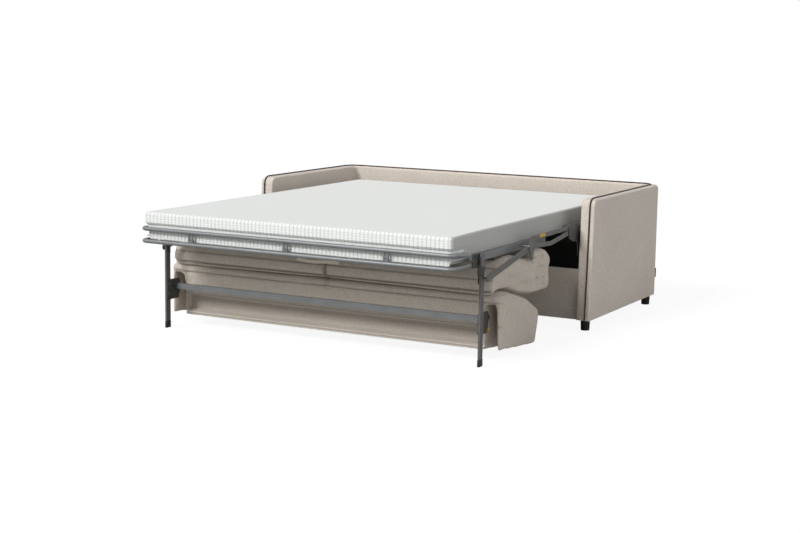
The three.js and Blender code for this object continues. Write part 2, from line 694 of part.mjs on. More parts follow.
// Backrest, lying face up under the seat unit: recessed block with a sloping top, two cushions on it
const blockFront = -881;
const slopeFront = [-800, 242];
const slopeRear = [-480, 134];
const blockOutline = [[-876, 54], [blockFront, 150], [-884, 250], slopeFront, slopeRear,
  [-457, 118], [-446, 98], [-471, 20], [-717, 38]];
const recessWall = 8;
const recess = { half: notch.inner - recessWall, depth: 60, bottom: 74, top: 150 };
const notchOutline = [[-930, 14], [-700, 14], [-688, 130], [-688, 248], [-770, 262], [-930, 262]];
const notches = () => [-1, 1].map((side) => prismX(
  outline(notchOutline), side * notch.inner, side * notch.outer));
const block = () => {
  const body = prismX(outline(blockOutline), -backrestHalf, backrestHalf);
  const hollow = boxBetween([-recess.half, recess.half],
    [blockFront - 2 * overrun, blockFront + recess.depth], [recess.bottom, recess.top]);
  return cut(body, hollow, ...notches());
};
place('backrest_block', block(), innerUpholstery);
const onSlope = (share) => [slopeFront[0] + share * (slopeRear[0] - slopeFront[0]),
  slopeFront[1] + share * (slopeRear[1] - slopeFront[1]) + softGap];
const slopeShares = [1.06, 0.99, 0.93, 0.5, 0.05, -0.02];
const backCushionOutline = [[-890, 264], [-896, 284], [-886, 301], [-862, 306], [-805, 307], [-745, 302],
  [-698, 291], [-571, 253], [-488, 209], [-436, 178], [-424, 160], [-434, 138], ...slopeShares.map(onSlope),
  [-850, 252.5]];
const backRound = 22;
const backCushion = (side) => cut(stuffed(backCushionOutline, side * cushionSplit, side * backrestHalf,
  { count: 44, endRound: backRound, rings: 4 }), ...notches());
place('backrest_cushion_left', backCushion(-1), innerUpholstery);
place('backrest_cushion_right', backCushion(1), innerUpholstery);
const collarWall = 2.5;
const collarClearance = 0.6;
const collarTab = { half: 9, rear: -850 };
const hingeCollar = (side) => {
  const x = [side * (notch.inner + gap), side * (notch.inner + gap + plateThickness)];
  const reach = Math.hypot(barDepth, barHeight) / 2 + collarClearance;
  const eye = new THREE.Shape();
  eye.absarc(...pivotBack, reach + collarWall, 0, Math.PI * 2);
  eye.holes.push(hole(pivotBack, reach));
  const tab = boxBetween(x, [pivotBack[0] + reach + collarWall / 2, collarTab.rear],
    [pivotBack[1] - collarTab.half, pivotBack[1] + collarTab.half]);
  return join(prismX(eye, ...x, 10), tab);
};
place('hinge_collar_left', hingeCollar(-1), darkSteel);
place('hinge_collar_right', hingeCollar(1), darkSteel);

const bedReach = -endFront + tubeRadius;
sofa.position.y = (bedReach - shellDepth) / 2;

export default sofa;
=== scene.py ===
"""A sofa with its bed pulled out: cloth, knitted ticking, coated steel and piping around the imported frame.

Metres, +X to the viewer's right, +Y to the sofa's back, +Z up."""

import json
import math

import bmesh
import bpy
import numpy as np
from bpy.props import FloatProperty, IntProperty, PointerProperty, StringProperty
from mathutils import Matrix, Vector, noise

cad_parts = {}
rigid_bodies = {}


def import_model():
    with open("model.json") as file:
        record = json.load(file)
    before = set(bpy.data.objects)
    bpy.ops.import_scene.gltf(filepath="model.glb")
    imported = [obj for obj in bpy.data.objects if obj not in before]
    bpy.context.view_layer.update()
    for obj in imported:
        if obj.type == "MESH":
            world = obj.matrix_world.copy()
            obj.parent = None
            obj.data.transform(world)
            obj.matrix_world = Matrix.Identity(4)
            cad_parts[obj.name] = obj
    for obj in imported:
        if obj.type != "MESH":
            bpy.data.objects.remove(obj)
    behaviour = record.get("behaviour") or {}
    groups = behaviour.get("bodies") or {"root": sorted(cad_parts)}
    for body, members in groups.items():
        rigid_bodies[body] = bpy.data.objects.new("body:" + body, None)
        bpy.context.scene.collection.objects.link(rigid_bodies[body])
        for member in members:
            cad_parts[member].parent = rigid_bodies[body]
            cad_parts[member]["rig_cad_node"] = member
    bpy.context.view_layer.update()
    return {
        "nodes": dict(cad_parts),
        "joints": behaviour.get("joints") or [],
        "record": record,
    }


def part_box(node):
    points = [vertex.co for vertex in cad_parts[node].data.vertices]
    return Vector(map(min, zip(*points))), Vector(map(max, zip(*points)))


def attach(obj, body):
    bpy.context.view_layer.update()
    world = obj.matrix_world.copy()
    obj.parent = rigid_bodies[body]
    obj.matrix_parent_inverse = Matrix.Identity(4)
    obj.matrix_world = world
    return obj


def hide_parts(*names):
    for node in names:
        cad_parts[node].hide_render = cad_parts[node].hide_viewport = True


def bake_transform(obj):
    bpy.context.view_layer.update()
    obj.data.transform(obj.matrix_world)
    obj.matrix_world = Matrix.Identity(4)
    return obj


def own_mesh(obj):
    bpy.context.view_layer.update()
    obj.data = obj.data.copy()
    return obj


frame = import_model()

bl_info = {
    "name": "Pull-out sofa bed",
    "version": (1, 0, 0),
    "blender": (4, 5, 0),
    "location": "View3D > Sidebar > Sofa bed",
    "description": "Dresses the frame of a sofa bed in cloth, knit, steel and piping",
    "category": "Add Mesh",
}

MM = 0.001
SIDES = {"left": -1, "right": 1}
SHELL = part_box("arm_right")
FRONT = SHELL[0].y  # front foot of the arms, from which at() counts
LEAN = 26 * MM  # how far the front edge of an arm leans back up to its nose
LEAN_DEPTH = 300 * MM  # how far back along the arm that lean dies out
NOSE = 38 * MM  # radius of the arm's upper front corner
REAR_CORNER = 60 * MM  # outer radius of the shell's rear corners, seen from above
RIM_SIDE = 20 * MM  # radius of the outer top edge of the arms
RIM_BACK = 58 * MM  # radius of the outer top edge of the back
TUBE_RADIUS = 10 * MM  # of the foot-end tube and the guard rail
EDGE = 1.2 * MM  # softening of the steel edges
BORDER_HANG = 25 * MM  # how far the mattress border hangs below the mattress in front
PIVOT = {joint["name"]: Vector(joint["pos_m"]) for joint in frame["joints"] if joint["type"] == "hinge"}


class SofaColours(bpy.types.PropertyGroup):
    """Colours of the cloths and coatings, written as sRGB hex"""

    cloth_light: StringProperty(name="Cloth, light yarn", description="Pale yarn", default="#E0D7CD")
    cloth_dark: StringProperty(name="Cloth, dark yarn", description="Dark yarn", default="#BBAFA2")
    # The cushion yarns are the shell's yarns made darker: painted shade of the cushions that lie under the
    # bed
    shaded_cushion_light: StringProperty(name="Cushions, light yarn", description="Pale yarn", default="#D3CABF")
    shaded_cushion_dark: StringProperty(name="Cushions, dark yarn", description="Dark yarn", default="#AFA395")
    cord: StringProperty(name="Piping", description="Cloth of the piping", default="#3E2C27")
    ticking: StringProperty(name="Ticking", description="Knitted top of the mattress", default="#E9EBE9")
    # The grey that the furrows of the knit are painted with: painted shade
    ticking_shade: StringProperty(name="Ticking grooves", description="Lines in the knit", default="#C6C7C3")
    # Greyer than the ticking although the knit is the same: painted shade on the sides of the mattress
    shaded_side_ticking: StringProperty(name="Side ticking", description="Sides of the mattress", default="#B4B5B1")
    # Near black, partly painted shade: it lines the inner faces where the bed shades them
    lining: StringProperty(name="Lining", description="Black cloth inside the shell", default="#15120F")
    webbing: StringProperty(name="Webbing", description="Pale straps", default="#D8CBB8")
    leg_coating: StringProperty(name="Leg coating", description="Coat of legs and links", default="#5F5E5B")
    coating: StringProperty(name="Coating", description="Grey powder coat of the tubes", default="#787A7B")
    dark_coating: StringProperty(name="Dark coating", description="Dark plates", default="#484745")
    zinc: StringProperty(name="Zinc", description="Zinc-plated wire and pins", default="#9DA1A4")
    plastic: StringProperty(name="Plastic", description="Feet and leg tips", default="#1B1816")
    # Darker than bare birch: partly painted shade of the seat's underside
    wood_and_shade: StringProperty(name="Board", description="Plywood under the seat", default="#5E5245")
    sticker: StringProperty(name="Sticker", description="Plain yellow sticker", default="#C99F14")


class SofaSizes(bpy.types.PropertyGroup):
    """Sizes that the frame leaves open"""

    piping_radius: FloatProperty(
        name="Piping radius", description="Half the thickness of the piping", default=4 * MM, unit="LENGTH")
    inner_corner: FloatProperty(
        name="Inner corner", description="Radius inside the rear corners", default=30 * MM, unit="LENGTH")
    waffle: FloatProperty(
        name="Waffle pitch", description="Width of one cell of the knit", default=20 * MM, unit="LENGTH")
    waffle_row: FloatProperty(
        name="Waffle row", description="Height of one cell of the knit", default=11 * MM, unit="LENGTH")
    mattress_corner: FloatProperty(
        name="Mattress corner", description="Radius of the upright corners", default=18 * MM, unit="LENGTH")
    swell: FloatProperty(
        name="Swell", description="How far a cushion may fill out", default=7 * MM, unit="LENGTH")
    voxel: FloatProperty(
        name="Cloth cell", description="Mesh size of the simulated cloth", default=9 * MM, unit="LENGTH")
    steps: IntProperty(name="Steps", description="Steps of the cloth simulation", default=14, min=1)


def linear(code):
    """An sRGB hex colour as the linear RGBA that a shader takes."""
    parts = [int(code[i:i + 2], 16) / 255 for i in (1, 3, 5)]
    return [c / 12.92 if c <= 0.04045 else ((c + 0.055) / 1.055) ** 2.4 for c in parts] + [1.0]


def feed(tree, node, inputs):
    """Gives each input of a node its value, or links it to the output that feeds it."""
    for key, value in inputs.items():
        if isinstance(value, bpy.types.NodeSocket):
            tree.links.new(value, node.inputs[key])
        else:
            node.inputs[key].default_value = value


def add(tree, kind, inputs=None, **properties):
    """Adds a node with its properties and its inputs."""
    node = tree.nodes.new("ShaderNode" + kind)
    for key, value in properties.items():
        setattr(node, key, value)
    feed(tree, node, inputs or {})
    return node


def new_material(name):
    """An empty material with its shader and the object's own coordinates, in metres."""
    material = bpy.data.materials.new(name)
    material.use_nodes = True
    tree = material.node_tree
    shader = tree.nodes["Principled BSDF"]
    where = add(tree, "TexCoord").outputs["Object"]
    return tree, shader, where


def crossed_threads(tree, where, pitch):
    """A height that rises and falls along all three axes, so that every face shows crossing threads."""
    axes = add(tree, "SeparateXYZ", {0: where})
    total = None
    for axis in "XYZ":
        turn = add(tree, "Math", {0: axes.outputs[axis], 1: math.tau / pitch}, operation="MULTIPLY")
        wave = add(tree, "Math", {0: turn.outputs[0]}, operation="COSINE").outputs[0]
        total = wave if total is None else add(tree, "Math", {0: total, 1: wave}, operation="ADD").outputs[0]
    return total


def woven_cloth(name, light, dark):
    """Plain-woven melange polyester: matt, pale and dark yarns mixed, with a soft fuzz at the edge of view.

    The threads lie 1.2 mm apart, too fine to show, so they are drawn 3.6 mm apart."""
    tree, shader, where = new_material(name)
    threads = crossed_threads(tree, where, 3.6 * MM)
    flecks = add(tree, "TexNoise", {"Vector": where, "Scale": 1 / (5 * MM), "Detail": 3.0, "Roughness": 0.7})
    patches = add(tree, "TexNoise", {"Vector": where, "Scale": 1 / (220 * MM), "Detail": 2.0})
    mixed = add(tree, "MapRange", {"Value": flecks.outputs["Fac"], "From Min": 0.32, "From Max": 0.68})
    yarn = add(tree, "Mix", {"Factor": mixed.outputs[0], "A": linear(dark), "B": linear(light)},
               data_type="RGBA")
    toned = add(tree, "MapRange", {"Value": patches.outputs["Fac"], "To Min": 0.93, "To Max": 1.05})
    # Painted shade: the cloth darkens where the mesh is marked, along seams, at cushion gaps and in the
    # backrest's recess
    seam = add(tree, "Attribute", attribute_name="seam").outputs["Fac"]
    painted_seam_shade = add(tree, "MapRange", {"Value": seam, "To Min": 1.0, "To Max": 0.52})
    tone = add(tree, "Math", {0: toned.outputs[0], 1: painted_seam_shade.outputs[0]}, operation="MULTIPLY")
    shade = add(tree, "VectorMath", {0: yarn.outputs["Result"], "Scale": tone.outputs[0]}, operation="SCALE")
    height = add(tree, "Math", {0: threads, 1: flecks.outputs["Fac"]}, operation="ADD")
    bump = add(tree, "Bump", {"Height": height.outputs[0], "Strength": 0.35, "Distance": 0.5 * MM})
    feed(tree, shader, {"Base Color": shade.outputs[0], "Normal": bump.outputs[0], "Roughness": 0.92,
                        "Sheen Weight": 0.25, "Sheen Roughness": 0.5})


def knitted_ticking(name, colour, shade, pitch, depth):
    """Knitted polyester ticking: soft white, with small stitches; grooves between the cells are greyed with
    painted shade.

    The stitches are 1.5 mm wide, too fine to show, so they are drawn at the given pitch."""
    tree, shader, where = new_material(name)
    threads = crossed_threads(tree, where, pitch)
    fuzz = add(tree, "TexNoise", {"Vector": where, "Scale": 1 / (9 * MM), "Detail": 3.0})
    # Painted shade: the groove mark greys the knit towards the furrow colour
    cell = add(tree, "Attribute", attribute_name="groove").outputs["Fac"]
    tint = add(tree, "Mix", {"Factor": cell, "A": linear(colour), "B": linear(shade)}, data_type="RGBA")
    toned = add(tree, "MapRange", {"Value": fuzz.outputs["Fac"], "To Min": 0.96, "To Max": 1.03})
    colours = add(tree, "VectorMath", {0: tint.outputs["Result"], "Scale": toned.outputs[0]},
                  operation="SCALE")
    height = add(tree, "Math", {0: threads, 1: fuzz.outputs["Fac"]}, operation="ADD")
    bump = add(tree, "Bump", {"Height": height.outputs[0], "Strength": 0.3, "Distance": depth})
    feed(tree, shader, {"Base Color": colours.outputs[0], "Normal": bump.outputs[0], "Roughness": 0.85,
                        "Sheen Weight": 0.15})


def coated_steel(name, colour, roughness=0.42):
    """Powder-coated steel: an even satin skin with a fine orange peel and a few dull rubs."""
    tree, shader, where = new_material(name)
    peel = add(tree, "TexNoise", {"Vector": where, "Scale": 1 / (2.5 * MM), "Detail": 2.0})
    rubs = add(tree, "TexNoise", {"Vector": where, "Scale": 1 / (60 * MM), "Detail": 6.0, "Roughness": 0.7})
    worn = add(tree, "MapRange", {"Value": rubs.outputs["Fac"], "From Min": 0.35, "From Max": 0.75,
                                  "To Min": 0.9, "To Max": 1.14})
    tint = add(tree, "VectorMath", {0: linear(colour)[:3], "Scale": worn.outputs[0]}, operation="SCALE")
    dull = add(tree, "MapRange", {"Value": rubs.outputs["Fac"], "To Min": roughness - 0.08,
                                  "To Max": roughness + 0.12})
    bump = add(tree, "Bump", {"Height": peel.outputs["Fac"], "Strength": 0.12, "Distance": 0.15 * MM})
    feed(tree, shader, {"Base Color": tint.outputs[0], "Roughness": dull.outputs[0],
                        "Normal": bump.outputs[0], "Metallic": 0.35})


def zinc_plated_steel(name, colour):
    """Zinc-plated steel wire: bright metal with the faint patches of the bath."""
    tree, shader, where = new_material(name)
    patches = add(tree, "TexVoronoi", {"Vector": where, "Scale": 1 / (7 * MM)})
    tone = add(tree, "MapRange", {"Value": patches.outputs["Distance"], "To Min": 0.85, "To Max": 1.08})
    tint = add(tree, "VectorMath", {0: linear(colour)[:3], "Scale": tone.outputs[0]}, operation="SCALE")
    dull = add(tree, "MapRange", {"Value": patches.outputs["Distance"], "To Min": 0.28, "To Max": 0.45})
    feed(tree, shader, {"Base Color": tint.outputs[0], "Roughness": dull.outputs[0], "Metallic": 1.0})


def moulded_plastic(name, colour, roughness=0.5):
    """Moulded ABS: dark and even, with the fine grain of the mould."""
    tree, shader, where = new_material(name)
    grain = add(tree, "TexNoise", {"Vector": where, "Scale": 1 / (1.2 * MM), "Detail": 2.0})
    tone = add(tree, "MapRange", {"Value": grain.outputs["Fac"], "To Min": 0.85, "To Max": 1.15})
    tint = add(tree, "VectorMath", {0: linear(colour)[:3], "Scale": tone.outputs[0]}, operation="SCALE")
    bump = add(tree, "Bump", {"Height": grain.outputs["Fac"], "Strength": 0.25, "Distance": 0.1 * MM})
    feed(tree, shader, {"Base Color": tint.outputs[0], "Normal": bump.outputs[0], "Roughness": roughness})


def birch_plywood(name, colour):
    """Birch plywood: warm brown with long grain across the sofa."""
    tree, shader, where = new_material(name)
    length, width = 300 * MM, 12 * MM
    stretched = add(tree, "Mapping", {"Vector": where, "Scale": (1 / length, 1 / width, 1 / width)})
    grain = add(tree, "TexNoise", {"Vector": stretched.outputs[0], "Scale": 1.0, "Detail": 5.0,
                                   "Distortion": 0.4})
    tone = add(tree, "MapRange", {"Value": grain.outputs["Fac"], "From Min": 0.3, "From Max": 0.7,
                                  "To Min": 0.72, "To Max": 1.1})
    tint = add(tree, "VectorMath", {0: linear(colour)[:3], "Scale": tone.outputs[0]}, operation="SCALE")
    feed(tree, shader, {"Base Color": tint.outputs[0], "Roughness": 0.7})


def materials():
    """All finishes, made once and then found again by name."""
    if "woven melange cloth" not in bpy.data.materials:
        c = bpy.context.scene.sofa_colours
        woven_cloth("woven melange cloth", c.cloth_light, c.cloth_dark)
        # The same weave with darker yarns: painted shade on the seat unit and the backrest
        woven_cloth("shaded cushion cloth", c.shaded_cushion_light, c.shaded_cushion_dark)
        woven_cloth("corded piping cloth", c.cord, c.cord)
        woven_cloth("shaded black lining cloth", c.lining, c.lining)
        woven_cloth("cream webbing", c.webbing, c.webbing)
        stitch = 4 * MM
        knitted_ticking("knitted ticking", c.ticking, c.ticking_shade, stitch, 0.3 * MM)
        knitted_ticking("waffle ticking", c.ticking, c.ticking_shade, stitch, 0.4 * MM)
        # The greyer copy of the ticking on the sides is painted shade
        knitted_ticking("shaded ribbed side ticking", c.shaded_side_ticking, c.ticking_shade, stitch, 0.4 * MM)
        coated_steel("grey powder coat", c.coating)
        coated_steel("olive grey powder coat", c.leg_coating, 0.48)
        coated_steel("dark powder coat", c.dark_coating, 0.5)
        zinc_plated_steel("zinc-plated steel", c.zinc)
        moulded_plastic("moulded black plastic", c.plastic)
        moulded_plastic("yellow vinyl sticker", c.sticker, 0.35)
        # The dark brown is partly painted shade of the underside
        birch_plywood("birch plywood", c.wood_and_shade)
    return bpy.data.materials


FINISH_OF_SLOT = {
    "upholstery": "woven melange cloth",
    "cushion_fabric": "shaded cushion cloth",
    "piping": "corded piping cloth",
    "mattress_knit": "knitted ticking",
    "grey_steel": "grey powder coat",
    "dark_steel": "dark powder coat",
    "zinc_steel": "zinc-plated steel",
    "black_plastic": "moulded black plastic",
    "board": "birch plywood",
}


def piece(name, points, faces, slot, body, finish=None, smooth=True):
    """A named mesh that rides on a body, if one is given, and takes its finish from a slot."""
    mesh = bpy.data.meshes.new(name)
    mesh.from_pydata([tuple(p) for p in points], [], [tuple(int(i) for i in f) for f in faces])
    mesh.validate()
    made = bpy.data.objects.new(name, mesh)
    bpy.context.scene.collection.objects.link(made)
    mesh.materials.append(materials()[finish or FINISH_OF_SLOT[slot]])
    outward(mesh)
    mesh.polygons.foreach_set("use_smooth", [smooth] * len(mesh.polygons))
    mesh.set_sharp_from_angle(angle=math.radians(40))
    if body:
        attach(made, body)
    return made


def outward(mesh):
    """Turns the faces of a closed mesh outward."""
    shape = bmesh.new()
    shape.from_mesh(mesh)
    bmesh.ops.recalc_face_normals(shape, faces=shape.faces)
    shape.to_mesh(mesh)
    shape.free()


def skin(rings):
    """Points and faces of a skin over rings of equal count; both ends are closed by a flat face."""
    count = len(rings[0])
    points = [Vector(p) for ring in rings for p in ring]
    faces = []
    for a in range(0, len(points) - count, count):
        b = a + count
        faces += [(a + i, a + (i + 1) % count, b + (i + 1) % count, b + i) for i in range(count)]
    faces += [tuple(range(count)), tuple(range(len(points) - count, len(points)))]
    return points, faces


def tube(path, radius, sides=20):
    """Points and faces of a round tube along a path."""
    path = [Vector(p) for p in path]
    last = len(path) - 1
    side = None
    rings = []
    for i, p in enumerate(path):
        along = (path[min(last, i + 1)] - path[max(0, i - 1)]).normalized()
        side = along.orthogonal() if side is None else side - along * side.dot(along)
        side.normalize()
        across = along.cross(side)
        rings.append([p + radius * (side * math.cos(a) + across * math.sin(a))
                      for a in (math.tau * k / sides for k in range(sides))])
    return skin(rings)


def lathe(profile, centre, axis="Z", sides=40):
    """Points and faces of a turned form; the profile is (radius, height) and closes on the axis."""
    rings = []
    for radius, height in profile:
        ring = []
        for k in range(sides):
            a = math.tau * k / sides
            p = Vector((radius * math.cos(a), radius * math.sin(a), height))
            ring.append(Vector(centre) + (Vector((p.z, p.x, p.y)) if axis == "X" else p))
        rings.append(ring)
    return skin(rings)


def bevelled(node, width):
    """Softens the hard edges of a frame node without touching its mesh."""
    softener = frame["nodes"][node].modifiers.new("soft edges", "BEVEL")
    softener.width, softener.segments = width, 2
    softener.limit_method, softener.angle_limit = "ANGLE", math.radians(35)
    softener.harden_normals = False


def mark(mesh, name, values):
    """Writes one number a vertex, which a material reads by name."""
    attribute = mesh.attributes.get(name) or mesh.attributes.new(name, "FLOAT", "POINT")
    attribute.data.foreach_set("value", np.asarray(values, np.float32))


def positions(mesh):
    """The vertices of a mesh as rows."""
    found = np.zeros(len(mesh.vertices) * 3)
    mesh.vertices.foreach_get("co", found)
    return found.reshape(-1, 3)


def front_lean(z):
    """How far the front edge of an arm lies behind its foot at a height, with the rounded nose."""
    foot, top = SHELL[0].z, SHELL[1].z
    straight = top - NOSE
    if z <= straight:
        return LEAN * (z - foot) / (straight - foot)
    return LEAN + NOSE - math.sqrt(max(0, NOSE ** 2 - (z - straight) ** 2))


def rim_inset(z, radius):
    """How far a rounded top edge draws in at a height."""
    rise = z - (SHELL[1].z - radius)
    return 0 if rise <= 0 else radius - math.sqrt(max(0, radius ** 2 - rise ** 2))


class SOFA_OT_shell(bpy.types.Operator):
    """Upholsters the arms and the back as one cloth skin, with the front panel between them"""

    bl_idname = "sofa.shell"
    bl_label = "Arms and back"

    ARM_STEPS, CORNER_STEPS, BACK_STEPS = 26, 10, 11
    BETWEEN = (0.25, 0.5, 0.75)  # where the points between the outer and the inner face lie

    def plan(self):
        """Stations along the wall: outer point, inner point and the radius of the outer top edge."""
        inner_corner = bpy.context.scene.sofa_sizes.inner_corner
        rear, inner_rear = SHELL[1].y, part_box("back_panel")[0].y
        # Centres of the outer and the inner rounding of the rear corner
        ox, oy = SHELL[1].x - REAR_CORNER, rear - REAR_CORNER
        nx, ny = SHELL[0].x - inner_corner, inner_rear - inner_corner
        stations = []
        for i in range(self.ARM_STEPS):
            share = (i / self.ARM_STEPS) ** 1.5  # closer together near the front
            stations.append(((SHELL[1].x, FRONT + share * (oy - FRONT)),
                             (SHELL[0].x, FRONT + share * (ny - FRONT)), RIM_SIDE))
        for i in range(self.CORNER_STEPS + 1):
            turn = i / self.CORNER_STEPS * math.pi / 2
            c, s = math.cos(turn), math.sin(turn)
            rim = RIM_SIDE + (RIM_BACK - RIM_SIDE) * (1 - math.cos(turn * 2)) / 2
            stations.append(((ox + REAR_CORNER * c, oy + REAR_CORNER * s),
                             (nx + inner_corner * c, ny + inner_corner * s), rim))
        for i in range(1, self.BACK_STEPS + 1):
            share = 1 - i / self.BACK_STEPS
            stations.append(((ox * share, rear), (nx * share, inner_rear), RIM_BACK))
        mirrored = [((-o[0], o[1]), (-n[0], n[1]), r) for o, n, r in reversed(stations[:-1])]
        return stations + mirrored

    def ring(self, station, levels, edge_round, forward):
        """The section of the wall at one station, up the outside, across the top and down the inside."""
        (ox, oy), (nx, ny), outer_radius = station
        outer, inner = Vector((ox, oy, 0)), Vector((nx, ny, 0))
        across = (inner - outer).normalized()
        lean_share = max(0.0, 1 - (oy - FRONT) / LEAN_DEPTH)
        inner_radius = 12 * MM

        def place(base, inset, z):
            p = base + inset
            return Vector((p.x, p.y + front_lean(z) * lean_share + forward, z))

        outside = [place(outer, across * (rim_inset(z, outer_radius) + edge_round), z) for z in levels]
        inside = [place(inner, -across * (rim_inset(z, inner_radius) + edge_round), z) for z in levels]
        over = [outside[-1].lerp(inside[-1], s) for s in self.BETWEEN]
        under = [inside[0].lerp(outside[0], s) for s in self.BETWEEN]
        return outside + over + inside[::-1] + under

    def front_rows(self, points, start, count, n):
        """Rows of vertex numbers over the front end of an arm, from its foot to its top."""
        rows = []
        for j in range(n):
            outside, inside = start + j, start + 2 * n + len(self.BETWEEN) - 1 - j
            if j == 0:
                filling = range(start + count - 1, start + count - 1 - len(self.BETWEEN), -1)
            elif j == n - 1:
                filling = range(start + n, start + n + len(self.BETWEEN))
            else:
                filling = range(len(points), len(points) + len(self.BETWEEN))
                points.extend([points[outside].lerp(points[inside], s) for s in self.BETWEEN])
            rows.append([outside, *filling, inside])
        return rows

    def execute(self, context):
        foot, top = SHELL[0].z, SHELL[1].z
        straight = top - NOSE
        levels = [foot + s * (straight - foot) for s in np.linspace(0, 1, 24)]
        levels += [straight + NOSE * math.sin(s * math.pi / 2) for s in np.linspace(0, 1, 12)[1:]]
        stations = self.plan()
        edge = 9 * MM
        turns = np.linspace(math.pi / 2, 0, 5)[:-1]
        fronts = [(edge * (1 - math.cos(t)), edge * (1 - math.sin(t))) for t in turns]
        rings = [self.ring(stations[0], levels, inset, forward) for inset, forward in fronts]
        for station in stations:
            near_front = max(0.0, 1 - (station[0][1] - FRONT) / LEAN_DEPTH)
            rings.append(self.ring(station, levels, 0, edge * near_front))
        rings += [self.ring(stations[-1], levels, inset, forward) for inset, forward in reversed(fronts)]
        points, faces = skin(rings)

        # Rows of faces over both front ends take the place of the two flat ends
        faces = faces[:-2]
        count = len(rings[0])
        for start in (0, len(points) - count):
            rows = self.front_rows(points, start, count, len(levels))
            for low, high in zip(rows[:-1], rows[1:]):
                faces += [(low[i], low[i + 1], high[i + 1], high[i]) for i in range(len(self.BETWEEN) + 1)]
        shell = piece("shell_cover", points, faces, "upholstery", "sofa_shell")
        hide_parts("arm_left", "arm_right", "back_panel")

        # The lining covers the inner faces under the bed, behind a hem of the pale cloth; its near black is
        # partly a real dust cloth and partly painted shade under the bed
        shell.data.materials.append(materials()["shaded black lining cloth"])
        hem, skin_deep, foot_hem = 60 * MM, 6 * MM, 4 * MM
        inner, rear = SHELL[0].x + skin_deep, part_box("back_panel")[0].y + skin_deep
        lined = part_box("mattress_seat")[0].z - BORDER_HANG
        for face in shell.data.polygons:
            c = face.center
            inside = abs(c.x) < inner and FRONT + hem < c.y < rear
            face.material_index = 1 if inside and foot + foot_hem < c.z < lined else 0

        low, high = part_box("base_front_panel")
        cover = piece("front_panel_cover", *soft_box(low, high, 5 * MM), "upholstery", "sofa_shell")
        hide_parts("base_front_panel")
        return {"FINISHED"}


def soft_box(low, high, radius, steps=4, cells=(24, 3, 8)):
    """Points and faces of a box with rounded edges, gridded over its faces."""
    shape = bmesh.new()
    bmesh.ops.create_cube(shape, size=1)
    size, middle = high - low, (low + high) / 2
    for v in shape.verts:
        v.co = Vector((v.co.x * size.x, v.co.y * size.y, v.co.z * size.z)) + middle
    for axis, count in enumerate(cells):
        edges = [e for e in shape.edges if abs((e.verts[0].co - e.verts[1].co)[axis]) > 1e-6]
        bmesh.ops.subdivide_edges(shape, edges=edges, cuts=count - 1, use_grid_fill=True)
    sharp = [e for e in shape.edges if len(e.link_faces) == 2
             and e.link_faces[0].normal.dot(e.link_faces[1].normal) < 0.5]
    bmesh.ops.bevel(shape, geom=sharp, offset=radius, segments=steps, profile=0.5, affect="EDGES")
    points = [v.co.copy() for v in shape.verts]
    faces = [[v.index for v in f.verts] for f in shape.faces]
    shape.free()
    return points, faces


class SOFA_OT_piping(bpy.types.Operator):
    """Lays the corded piping along the rim of the shell"""

    bl_idname = "sofa.piping"
    bl_label = "Piping"

    def execute(self, context):
        radius = context.scene.sofa_sizes.piping_radius
        sit = radius * 0.7  # the cord sinks a little into the seam
        inset = 23.6 * MM  # from the outer face of the arm
        x, top = SHELL[1].x - inset, SHELL[1].z
        cx, cy = x - REAR_CORNER, SHELL[1].y - RIM_BACK - REAR_CORNER  # centre of the rounded rear corner
        nose = Vector((x, FRONT + LEAN + NOSE, top - NOSE))
        foot = SHELL[0].z + radius
        half = [Vector((x, FRONT + front_lean(z) - sit, z)) for z in np.linspace(foot, nose.z, 16)[:-1]]
        for turn in np.linspace(math.pi, math.pi / 2, 12):
            half.append(nose + (NOSE + sit) * Vector((0, math.cos(turn), math.sin(turn))))
        half += [Vector((x, y, top + sit)) for y in np.linspace(nose.y, cy, 14)[1:-1]]
        for turn in np.linspace(0, math.pi / 2, 10):
            corner = Vector((math.cos(turn), math.sin(turn), 0)) * REAR_CORNER
            half.append(Vector((cx, cy, top + sit)) + corner)
        half += [Vector((share * cx, cy + REAR_CORNER, top + sit)) for share in np.linspace(1, 0, 12)[1:]]
        path = half + [Vector((-p.x, p.y, p.z)) for p in reversed(half[:-1])]
        cord = piece("piping_cord", *tube(path, radius, 12), "piping", "sofa_shell")
        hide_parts("piping")
        return {"FINISHED"}


class SOFA_OT_feet(bpy.types.Operator):
    """Turns the four sofa feet and moulds the tips of the bed legs"""

    bl_idname = "sofa.feet"
    bl_label = "Feet"

    def outline(self, wide, tall):
        """Half the outline of a foot that tapers down from a short straight collar, with soft edges."""
        narrow, foot_edge, edge = wide * 0.86, 2 * MM, 1 * MM
        return [(narrow * 0.5, 0), (narrow - foot_edge, 0), (narrow - 0.3 * foot_edge, 0.3 * foot_edge),
                (narrow, foot_edge), (wide - 1.5 * edge, tall - 9 * edge), (wide, tall - 6 * edge),
                (wide, tall - edge), (wide - edge, tall), (wide * 0.5, tall)]

    def execute(self, context):
        for place in ("front", "rear"):
            for hand in SIDES:
                low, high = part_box(f"foot_{place}_{hand}")
                middle = Vector(((low.x + high.x) / 2, (low.y + high.y) / 2, 0))
                turned = lathe(self.outline((high.x - low.x) / 2, high.z), middle)
                foot = piece(f"turned_foot_{place}_{hand}", *turned, "black_plastic", "sofa_shell")
                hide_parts(f"foot_{place}_{hand}")
        for hand in SIDES:
            low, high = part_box(f"leg_tip_{hand}")
            moulded = soft_box(low, high, 3 * MM, 3, (1, 1, 1))
            tip = piece(f"moulded_tip_{hand}", *moulded, "black_plastic", "leg_frame")
            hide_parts(f"leg_tip_{hand}")
        return {"FINISHED"}


